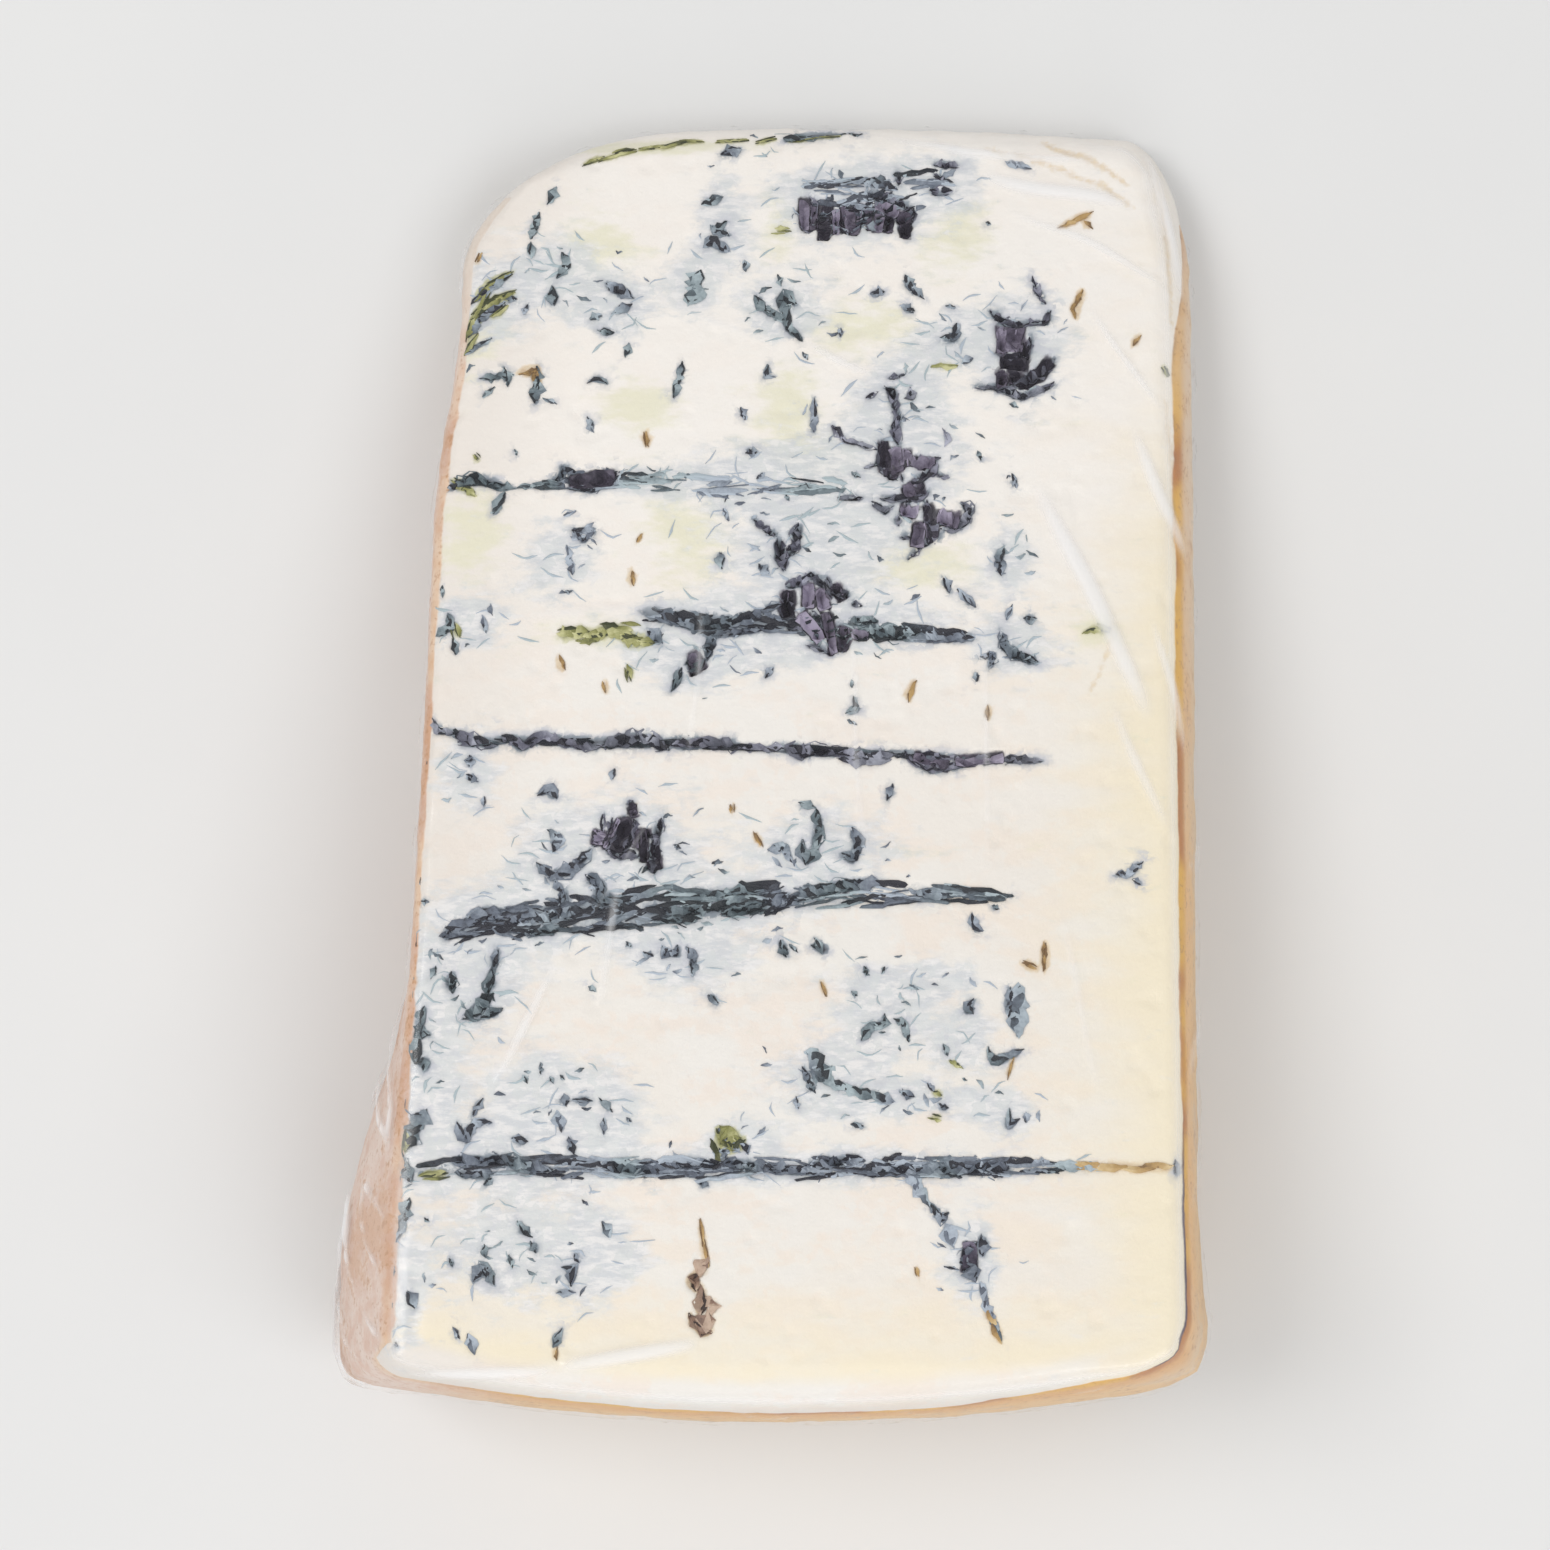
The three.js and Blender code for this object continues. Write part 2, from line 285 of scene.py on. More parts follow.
# Mould marks in the photograph. Each is how dark it is from 0 to 1, and a run of points: pixel x,
# pixel y, and half its width in pixels.
TRACK_BANDS = [
    (0.7, [(440, 487, 3), (474, 480, 4), (520, 487, 2)]),
    (0.05, [(516, 487, 4), (620, 480, 7), (700, 486, 10), (850, 486, 7)]),
    (0.15, [(806, 212, 15), (860, 210, 17), (925, 206, 14)]),
    (0.1, [(888, 180, 6), (955, 178, 9)]),
    (0.05, [(802, 188, 7), (868, 186, 10)]),
    (0.55, [(640, 611, 7), (700, 622, 11), (760, 620, 8), (850, 629, 8), (930, 634, 7), (980, 637, 4)]),
    (0.75, [(431, 726, 3), (470, 739, 4), (640, 742, 5), (740, 747, 3), (900, 754, 4), (1042, 760, 2)]),
    (0.45, [(440, 932, 8), (480, 922, 14), (560, 916, 18), (650, 906, 18), (790, 897, 13)]),
    (0.25, [(760, 898, 14), (860, 892, 12), (960, 894, 7), (1020, 897, 3)]),
    (0.35, [
        (405, 1172, 7), (450, 1166, 8), (640, 1167, 9), (900, 1166, 9), (1010, 1166, 8), (1080, 1166, 5),
    ]),
]
FIRST_TRACK = [
    (0.9, [(444, 487, 3), (462, 482, 4), (474, 478, 5), (500, 486, 4), (516, 487, 2)]),
    (0.5, [(516, 487, 2), (545, 485, 2)]),
    (0.9, [(546, 487, 3), (560, 479, 3), (562, 468, 3), (576, 472, 3)]),
    (0.95, [(568, 474, 2), (590, 476, 3), (617, 470, 2)]),
    (1.0, [(572, 486, 3), (592, 490, 3), (604, 484, 2)]),
    (0.6, [(505, 492, 3), (492, 513, 5)]),
]
SECOND_TRACK = [
    (1.0, [(660, 612, 5), (690, 622, 8), (712, 624, 6), (738, 620, 5), (760, 612, 3), (782, 602, 2)]),
    (0.9, [(700, 634, 3), (726, 632, 4), (760, 628, 3), (782, 628, 3)]),
    (0.85, [(850, 620, 4), (878, 621, 4)]),
    (0.7, [(862, 632, 6), (900, 633, 6), (935, 634, 5), (975, 637, 3)]),
    (0.95, [(712, 632, 5), (707, 660, 4)]),
    (1.0, [(690, 658, 8), (699, 669, 8)]),
    (0.9, [(682, 668, 4), (672, 690, 3)]),
    (0.8, [(662, 642, 5), (648, 628, 4)]),
    (0.95, [(1000, 629, 2), (1003, 645, 4), (1016, 654, 4), (1038, 662, 3)]),
    (0.7, [(980, 656, 3), (994, 655, 4), (990, 668, 3)]),
]
THIRD_TRACK = [
    (0.6, [(431, 718, 3), (436, 731, 3), (452, 731, 3)]),
    (0.95, [(455, 733, 5), (468, 739, 5), (496, 744, 4)]),
    (0.95, [(502, 736, 4), (522, 744, 4), (536, 738, 4), (560, 739, 4), (582, 746, 4), (602, 745, 4)]),
    (0.9, [(602, 745, 5), (626, 739, 6), (655, 740, 6), (668, 749, 5)]),
    (0.95, [(668, 742, 4), (700, 741, 4), (726, 744, 5), (742, 748, 4)]),
    (0.7, [(742, 748, 3), (784, 747, 3)]),
    (0.95, [(785, 745, 4), (801, 751, 6), (832, 751, 4), (870, 754, 3), (896, 753, 3)]),
    (0.5, [(840, 758, 5), (890, 758, 6)]),
    (0.9, [(905, 750, 3), (912, 760, 3), (930, 769, 3), (962, 764, 3)]),
    (0.8, [(920, 752, 2), (958, 758, 2), (1003, 754, 2)]),
    (0.9, [(1003, 758, 4), (1042, 760, 2)]),
]
FOURTH_TRACK = [
    (0.9, [(444, 937, 4), (453, 926, 4), (469, 922, 4), (482, 911, 4), (510, 910, 3)]),
    (1.0, [(486, 924, 7), (494, 914, 5)]),
    (0.9, [(500, 925, 3), (530, 913, 6), (546, 918, 5), (562, 912, 5)]),
    (0.85, [(522, 930, 4), (546, 931, 4), (562, 924, 3)]),
    (0.9, [(563, 888, 4), (564, 912, 6), (574, 918, 6)]),
    (0.95, [(586, 875, 4), (600, 885, 5), (601, 899, 6), (615, 896, 5)]),
    (0.9, [(590, 913, 5), (606, 901, 4)]),
    (0.8, [(606, 920, 4), (622, 903, 4), (640, 893, 3)]),
    (0.95, [(642, 908, 4), (690, 910, 5), (730, 901, 4), (752, 894, 3)]),
    (0.9, [(690, 896, 3), (735, 892, 4), (750, 894, 3)]),
    (0.75, [(650, 920, 3), (702, 918, 4)]),
    (1.0, [(722, 912, 5), (746, 908, 5), (776, 900, 5), (786, 892, 4)]),
    (0.85, [(785, 905, 4), (802, 893, 5), (826, 888, 6), (852, 884, 5), (882, 882, 3)]),
    (0.7, [(920, 890, 5), (946, 896, 4)]),
]
FIFTH_TRACK = [
    (0.9, [(450, 1159, 4), (476, 1160, 5), (510, 1160, 5), (536, 1168, 5), (552, 1170, 4)]),
    (0.8, [(455, 1172, 4), (492, 1173, 4)]),
    (1.0, [(602, 1163, 4), (625, 1168, 5), (648, 1169, 6), (668, 1166, 4), (720, 1164, 4)]),
    (0.95, [(720, 1162, 5), (762, 1166, 4), (800, 1170, 4), (830, 1162, 5), (862, 1158, 4)]),
    (0.85, [(862, 1168, 5), (940, 1168, 6), (1010, 1166, 6)]),
    (0.2, [(1056, 1166, 4), (1088, 1167, 3), (1120, 1167, 2)]),
    (0.8, [(1176, 1160, 2), (1178, 1174, 3)]),
    (0.8, [(484, 1184, 4), (492, 1178, 3)]),
    (0.8, [(398, 1152, 5), (401, 1164, 4), (408, 1181, 5)]),
]
TIP_HOLLOW = [
    (0.95, [(867, 183, 2), (876, 183, 3), (886, 187, 2)]),
    (1.0, [(868, 204, 2), (871, 193, 3), (892, 199, 3), (912, 208, 3)]),
    (0.9, [(810, 196, 3), (814, 204, 3), (819, 216, 3)]),
    (1.0, [(818, 216, 3), (832, 216, 3)]),
    (0.9, [(844, 207, 3), (868, 206, 3)]),
    (0.9, [(838, 215, 2), (839, 230, 3)]),
    (0.95, [(873, 208, 3), (880, 214, 2), (897, 215, 2)]),
    (0.9, [(913, 208, 3), (912, 222, 3)]),
    (0.95, [(901, 224, 3), (909, 236, 2)]),
    (0.85, [(898, 172, 4), (900, 184, 3)]),
    (0.7, [(934, 171, 3), (944, 182, 3)]),
    (0.85, [(930, 190, 3), (952, 190, 3)]),
    (0.8, [(934, 164, 3), (960, 166, 3)]),
    (0.7, [(802, 229, 2), (812, 231, 2)]),
]
UPRIGHT_HOLLOW = [
    (1.0, [(990, 310, 3), (1000, 318, 3), (1016, 323, 3), (1046, 321, 2), (1050, 310, 4)]),
    (0.8, [(1046, 304, 2), (1036, 290, 3), (1032, 276, 1)]),
    (0.9, [(998, 326, 3), (1005, 330, 3)]),
    (0.95, [(997, 354, 2), (1012, 355, 2), (1030, 352, 3)]),
    (0.95, [(1030, 334, 2), (1029, 352, 2)]),
    (1.0, [(1010, 386, 4), (1026, 378, 4), (1044, 370, 5), (1054, 358, 3)]),
    (0.85, [(975, 388, 2), (990, 386, 3), (1006, 390, 4), (1020, 396, 4), (1044, 388, 3), (1054, 382, 2)]),
]
MIDDLE_CHAIN = [
    (0.9, [(889, 377, 3), (904, 374, 3)]),
    (0.9, [(884, 386, 2), (892, 390, 4), (894, 404, 3), (898, 416, 3), (895, 430, 4), (899, 444, 4)]),
    (0.7, [(866, 398, 2), (878, 391, 2)]),
    (0.8, [(910, 387, 3), (911, 396, 3), (904, 398, 2)]),
    (0.95, [(881, 440, 2), (880, 464, 3), (897, 480, 2)]),
    (0.8, [(912, 458, 2), (940, 458, 2)]),
    (0.95, [(936, 462, 4), (934, 470, 4), (918, 480, 3), (906, 488, 2)]),
    (0.8, [(934, 474, 3), (950, 477, 3)]),
    (0.9, [(901, 474, 2), (902, 481, 2)]),
    (0.95, [(880, 498, 3), (900, 497, 3), (920, 496, 4), (928, 490, 3)]),
    (0.95, [(907, 499, 4), (908, 505, 3)]),
    (0.85, [(872, 502, 3), (884, 511, 3), (894, 506, 2)]),
    (0.95, [(926, 500, 3), (928, 522, 3), (934, 534, 5), (922, 546, 3)]),
    (0.8, [(898, 514, 3), (899, 526, 3)]),
    (0.85, [(900, 536, 3), (909, 537, 4)]),
    (0.85, [(920, 548, 3), (908, 558, 2)]),
    (0.85, [(960, 502, 3), (970, 510, 4), (966, 520, 4), (956, 529, 3), (940, 528, 2)]),
    (0.6, [(864, 468, 2), (880, 463, 2)]),
    (0.6, [(832, 425, 3), (845, 440, 3), (878, 449, 2)]),
    (0.7, [(838, 498, 3), (862, 498, 3)]),
    (0.4, [(942, 428, 2), (948, 440, 2), (944, 446, 2)]),
]
FORKED_HOLLOW = [
    (0.9, [(754, 520, 3), (777, 536, 3)]),
    (1.0, [(778, 538, 5), (781, 556, 6), (785, 571, 2)]),
    (0.9, [(799, 524, 5), (796, 546, 4), (786, 558, 4)]),
]
ARCHED_HOLLOW = [
    (0.95, [(786, 584, 4), (798, 582, 3), (812, 574, 3), (824, 583, 3), (831, 598, 2)]),
    (0.95, [(787, 592, 4), (788, 612, 5), (790, 618, 3)]),
    (0.9, [(826, 576, 3), (832, 588, 3), (846, 594, 4), (840, 586, 2)]),
    (0.9, [(812, 610, 2), (822, 622, 3), (830, 640, 3)]),
    (0.9, [(791, 626, 2), (808, 629, 2)]),
    (0.85, [(806, 644, 3), (818, 646, 3), (831, 652, 3)]),
    (0.9, [(840, 624, 2), (842, 652, 3)]),
    (0.9, [(851, 602, 3), (862, 606, 3)]),
    (0.85, [(856, 620, 2), (870, 619, 2)]),
]
LEFT_HOLLOW = [
    (0.9, [(626, 803, 2), (633, 800, 3)]),
    (0.95, [(624, 816, 2), (606, 849, 3)]),
    (0.95, [(634, 818, 2), (635, 828, 3), (622, 850, 4)]),
    (0.85, [(612, 817, 3), (608, 830, 2)]),
    (1.0, [(606, 850, 2), (621, 856, 3), (628, 853, 4), (640, 856, 3)]),
    (0.9, [(648, 832, 3), (656, 838, 3)]),
    (0.95, [(661, 818, 3), (655, 848, 4), (653, 868, 4), (661, 866, 3)]),
    (0.7, [(604, 812, 2), (602, 832, 2)]),
    (0.7, [(592, 846, 3), (602, 838, 2)]),
]
HOLLOW_FACETS = [
    (0.55, [(814, 203, 4), (814, 228, 4)]),
    (0.2, [(836, 209, 4), (836, 232, 3)]),
    (0.65, [(844, 206, 4), (845, 230, 4)]),
    (0.6, [(868, 208, 5), (867, 223, 4)]),
    (0.45, [(880, 213, 5), (879, 228, 4)]),
    (0.75, [(890, 213, 5), (889, 231, 4)]),
    (0.35, [(804, 198, 5), (805, 228, 5)]),
    (0.8, [(824, 204, 8), (825, 222, 8)]),
    (0.85, [(825, 224, 7), (824, 238, 5)]),
    (0.55, [(856, 208, 11), (854, 232, 5)]),
    (0.3, [(876, 203, 5), (898, 210, 6)]),
    (0.6, [(904, 210, 7), (905, 222, 7)]),
    (0.8, [(905, 223, 6), (907, 236, 4)]),
    (0.4, [(868, 226, 4), (882, 226, 4)]),
    (0.45, [(1002, 326, 5), (1002, 352, 5)]),
    (0.45, [(1016, 326, 9), (1015, 350, 9)]),
    (0.8, [(1026, 340, 4), (1025, 356, 4)]),
    (0.9, [(1001, 360, 6), (1026, 362, 6)]),
    (0.6, [(1002, 370, 6), (1003, 386, 5)]),
    (0.75, [(1016, 370, 7), (1014, 382, 5)]),
    (1.0, [(1018, 384, 5), (1038, 374, 6), (1051, 360, 5)]),
    (0.75, [(884, 441, 5), (885, 464, 6), (896, 477, 3)]),
    (0.45, [(895, 447, 6), (898, 470, 6)]),
    (0.35, [(904, 449, 6), (906, 464, 6)]),
    (0.4, [(912, 460, 5), (934, 463, 6)]),
    (0.6, [(904, 490, 5), (923, 485, 8)]),
    (0.25, [(901, 508, 6), (917, 512, 6)]),
    (0.75, [(928, 504, 4), (932, 536, 6)]),
    (0.5, [(920, 522, 6), (917, 546, 6)]),
    (0.3, [(938, 516, 7), (958, 520, 8)]),
    (0.85, [(787, 590, 5), (788, 616, 6)]),
    (0.25, [(808, 582, 6), (808, 606, 7)]),
    (0.3, [(820, 588, 5), (825, 608, 6)]),
    (0.1, [(800, 614, 7), (822, 638, 6)]),
    (0.45, [(826, 612, 5), (834, 652, 4)]),
    (0.6, [(845, 626, 6), (843, 650, 4)]),
    (0.35, [(852, 632, 5), (868, 634, 5)]),
    (0.7, [(834, 584, 5), (842, 598, 5)]),
    (0.6, [(631, 803, 4), (635, 815, 4)]),
    (0.9, [(628, 818, 6), (616, 850, 7)]),
    (0.05, [(619, 818, 2), (604, 846, 2)]),
    (0.55, [(637, 828, 3), (633, 846, 5)]),
    (0.85, [(644, 828, 4), (646, 860, 5)]),
    (1.0, [(655, 844, 4), (654, 868, 7)]),
    (0.2, [(600, 830, 6), (597, 842, 5)]),
    (0.55, [(914, 756, 5), (948, 763, 6)]),
    (0.35, [(956, 760, 5), (1003, 757, 5)]),
    (0.7, [(570, 480, 7), (614, 477, 8)]),
    (0.55, [(692, 652, 5), (698, 670, 9)]),
    (0.6, [(970, 1242, 6), (970, 1270, 7)]),
]
HEEL_FISSURE = [
    (0.5, [(708, 1256, 3), (704, 1266, 5), (696, 1276, 5)]),
    (1.0, [(698, 1270, 3), (693, 1281, 5), (698, 1292, 3)]),
    (0.75, [(700, 1284, 4), (702, 1300, 5), (700, 1312, 6)]),
    (0.3, [(706, 1296, 4), (714, 1304, 4), (712, 1314, 4)]),
    (0.4, [(694, 1318, 5), (706, 1321, 8), (715, 1320, 5)]),
    (0.95, [(689, 1313, 3), (696, 1323, 3), (704, 1332, 3), (713, 1331, 2)]),
]
HEEL_CRACK = [
    (0.4, [(906, 1172, 4), (920, 1190, 5), (930, 1206, 3)]),
    (0.85, [(928, 1202, 2), (943, 1219, 4), (948, 1212, 4)]),
    (0.35, [(946, 1224, 5), (954, 1246, 6)]),
    (0.8, [(966, 1242, 5), (968, 1264, 7), (976, 1281, 4)]),
    (0.85, [(981, 1236, 6), (982, 1256, 5)]),
    (0.45, [(980, 1282, 4), (987, 1306, 3), (1001, 1340, 3)]),
    (0.6, [(944, 1266, 2), (959, 1269, 2)]),
]
BLACK_SPIKE = [
    (0.95, [(497, 948, 4), (493, 968, 2), (487, 994, 5)]),
    (1.0, [(492, 994, 7), (481, 1006, 7), (463, 1018, 3)]),
    (0.85, [(478, 1018, 3), (502, 1008, 4)]),
    (0.9, [(452, 972, 4), (452, 991, 5)]),
    (0.6, [(435, 966, 3), (430, 978, 3)]),
]
LEFT_EDGE = [
    (0.9, [(424, 1006, 3), (416, 1032, 5), (429, 1034, 4)]),
    (0.8, [(418, 1036, 4), (414, 1062, 5)]),
    (0.95, [(416, 1064, 4), (425, 1060, 4), (424, 1071, 4)]),
    (0.8, [(425, 1110, 6), (414, 1126, 9), (406, 1148, 6)]),
    (0.6, [(408, 1198, 5), (400, 1224, 5), (395, 1242, 4)]),
    (0.8, [(407, 1292, 4), (415, 1308, 4)]),
    (0.6, [(382, 1272, 4), (393, 1272, 4)]),
    (0.7, [(448, 614, 4), (452, 627, 4), (435, 636, 3)]),
    (0.6, [(453, 638, 3), (456, 654, 4)]),
    (0.6, [(442, 586, 3), (442, 597, 3)]),
]
TIP_FLECKS = [
    (0.5, [(556, 186, 4), (548, 203, 4)]),
    (0.6, [(539, 212, 3), (531, 238, 4)]),
    (0.65, [(531, 242, 3), (532, 257, 4)]),
    (0.75, [(562, 252, 3), (568, 266, 4), (557, 278, 3)]),
    (0.8, [(552, 286, 3), (553, 304, 6)]),
    (0.6, [(528, 305, 4), (524, 313, 3)]),
    (0.8, [(607, 283, 5), (620, 290, 5), (634, 298, 4)]),
    (0.7, [(632, 304, 3), (615, 313, 4)]),
    (0.85, [(598, 330, 2), (614, 332, 5)]),
    (0.5, [(590, 319, 3), (601, 315, 4)]),
    (0.6, [(628, 344, 4), (625, 357, 3)]),
    (0.7, [(587, 383, 2), (598, 377, 3), (607, 383, 3)]),
    (0.7, [(682, 362, 3), (680, 378, 3), (674, 397, 4)]),
    (0.5, [(701, 270, 6), (690, 303, 8)]),
    (0.6, [(702, 204, 4), (722, 196, 5)]),
    (0.8, [(727, 221, 3), (714, 228, 4), (729, 235, 4)]),
    (0.7, [(704, 247, 4), (713, 240, 5), (729, 252, 4)]),
    (0.5, [(745, 260, 4), (746, 271, 3)]),
    (0.5, [(778, 275, 3), (781, 286, 3)]),
    (0.8, [(755, 296, 4), (763, 307, 4), (785, 320, 3)]),
    (0.9, [(797, 304, 4), (783, 298, 5), (788, 326, 4), (802, 341, 3)]),
    (0.6, [(803, 352, 3), (807, 359, 3)]),
    (0.65, [(871, 293, 4), (884, 292, 6)]),
    (0.7, [(906, 275, 4), (909, 285, 4), (924, 299, 2)]),
    (0.8, [(901, 305, 4), (913, 311, 5)]),
    (0.6, [(946, 306, 3), (955, 307, 3)]),
    (0.6, [(840, 328, 5), (840, 336, 4)]),
    (0.7, [(957, 323, 4), (954, 337, 4), (940, 338, 2)]),
    (0.6, [(768, 365, 4), (765, 376, 3), (775, 377, 3)]),
    (0.5, [(972, 358, 4), (962, 363, 3)]),
    (0.65, [(864, 181, 5), (880, 183, 7), (897, 189, 4)]),
    (0.85, [(722, 153, 5), (741, 147, 4)]),
    (0.85, [(784, 137, 3), (815, 133, 4), (846, 130, 3)]),
    (0.8, [(850, 131, 3), (862, 131, 3)]),
    (0.7, [(512, 274, 2), (500, 280, 3), (470, 302, 4)]),
    (0.85, [(504, 296, 4), (516, 298, 4)]),
    (0.85, [(505, 302, 4), (478, 318, 4), (468, 336, 4)]),
    (0.6, [(492, 338, 2), (461, 354, 3)]),
    (0.8, [(480, 378, 3), (514, 375, 3)]),
    (0.8, [(504, 367, 3), (508, 386, 3)]),
    (0.9, [(537, 366, 4), (537, 384, 4), (535, 401, 6)]),
    (0.5, [(543, 398, 2), (557, 404, 2)]),
    (0.5, [(483, 397, 3), (495, 387, 2)]),
    (0.7, [(986, 223, 4), (990, 224, 3)]),
    (0.35, [(1006, 161, 4), (1032, 169, 2)]),
    (0.5, [(1010, 404, 3), (1018, 407, 3)]),
]
MIDDLE_FLECKS = [
    (0.6, [(588, 417, 3), (594, 432, 3)]),
    (0.5, [(515, 449, 3), (517, 454, 3)]),
    (0.9, [(572, 530, 3), (594, 530, 3), (583, 541, 2), (572, 530, 3)]),
    (0.35, [(564, 516, 3), (576, 511, 2)]),
    (0.4, [(567, 545, 2), (573, 574, 4)]),
    (0.5, [(482, 615, 2), (486, 633, 3)]),
    (0.5, [(565, 592, 3), (573, 590, 3)]),
    (0.7, [(720, 552, 4), (721, 568, 4)]),
    (0.5, [(724, 508, 3), (729, 520, 3)]),
    (0.6, [(741, 407, 3), (746, 419, 4)]),
    (0.7, [(814, 398, 2), (814, 432, 3)]),
    (0.7, [(746, 452, 5), (757, 451, 5)]),
    (0.55, [(764, 474, 4), (757, 479, 3)]),
    (0.6, [(786, 494, 3), (789, 500, 3)]),
    (0.6, [(800, 486, 4), (814, 488, 4)]),
    (0.6, [(852, 473, 4), (860, 477, 3)]),
    (0.6, [(978, 452, 4), (981, 460, 3)]),
    (0.6, [(1012, 474, 3), (1016, 488, 3)]),
    (0.75, [(1003, 546, 4), (999, 560, 4), (1001, 575, 4)]),
    (0.75, [(944, 576, 4), (950, 592, 3)]),
    (0.6, [(957, 589, 3), (975, 607, 3)]),
    (0.8, [(1024, 618, 5), (1036, 618, 4)]),
    (0.5, [(1012, 604, 2), (1006, 619, 3)]),
    (0.7, [(773, 667, 3), (765, 677, 4)]),
    (0.5, [(760, 564, 5), (770, 574, 5)]),
    (0.6, [(852, 680, 3), (852, 687, 3)]),
    (0.7, [(854, 696, 3), (857, 707, 3), (846, 713, 3)]),
    (0.6, [(847, 720, 2), (856, 725, 3)]),
    (0.6, [(976, 672, 3), (976, 681, 3)]),
    (0.65, [(470, 755, 5), (470, 766, 4)]),
    (0.75, [(466, 775, 4), (477, 781, 4)]),
    (0.6, [(484, 797, 3), (484, 805, 3)]),
    (0.8, [(538, 795, 3), (550, 788, 4), (557, 797, 6)]),
    (0.6, [(614, 769, 3), (612, 779, 4)]),
    (0.55, [(548, 830, 4), (560, 837, 4), (554, 850, 6)]),
    (0.9, [(536, 863, 3), (551, 876, 4), (574, 866, 6), (591, 849, 3)]),
    (0.75, [(555, 880, 4), (562, 892, 4)]),
    (0.7, [(798, 802, 3), (815, 807, 3)]),
    (0.9, [(816, 808, 3), (819, 828, 4), (816, 846, 4), (808, 863, 4)]),
    (0.8, [(803, 838, 3), (806, 863, 5)]),
    (0.9, [(851, 827, 3), (858, 842, 4), (853, 859, 5), (841, 853, 3)]),
    (0.6, [(768, 850, 4), (783, 846, 4), (792, 862, 3)]),
    (0.8, [(892, 784, 3), (886, 800, 3)]),
    (0.7, [(674, 845, 4), (680, 848, 4)]),
    (0.8, [(992, 905, 4), (998, 908, 4)]),
    (0.6, [(972, 912, 3), (974, 927, 4), (983, 930, 3)]),
    (0.6, [(420, 902, 4), (428, 902, 3)]),
]
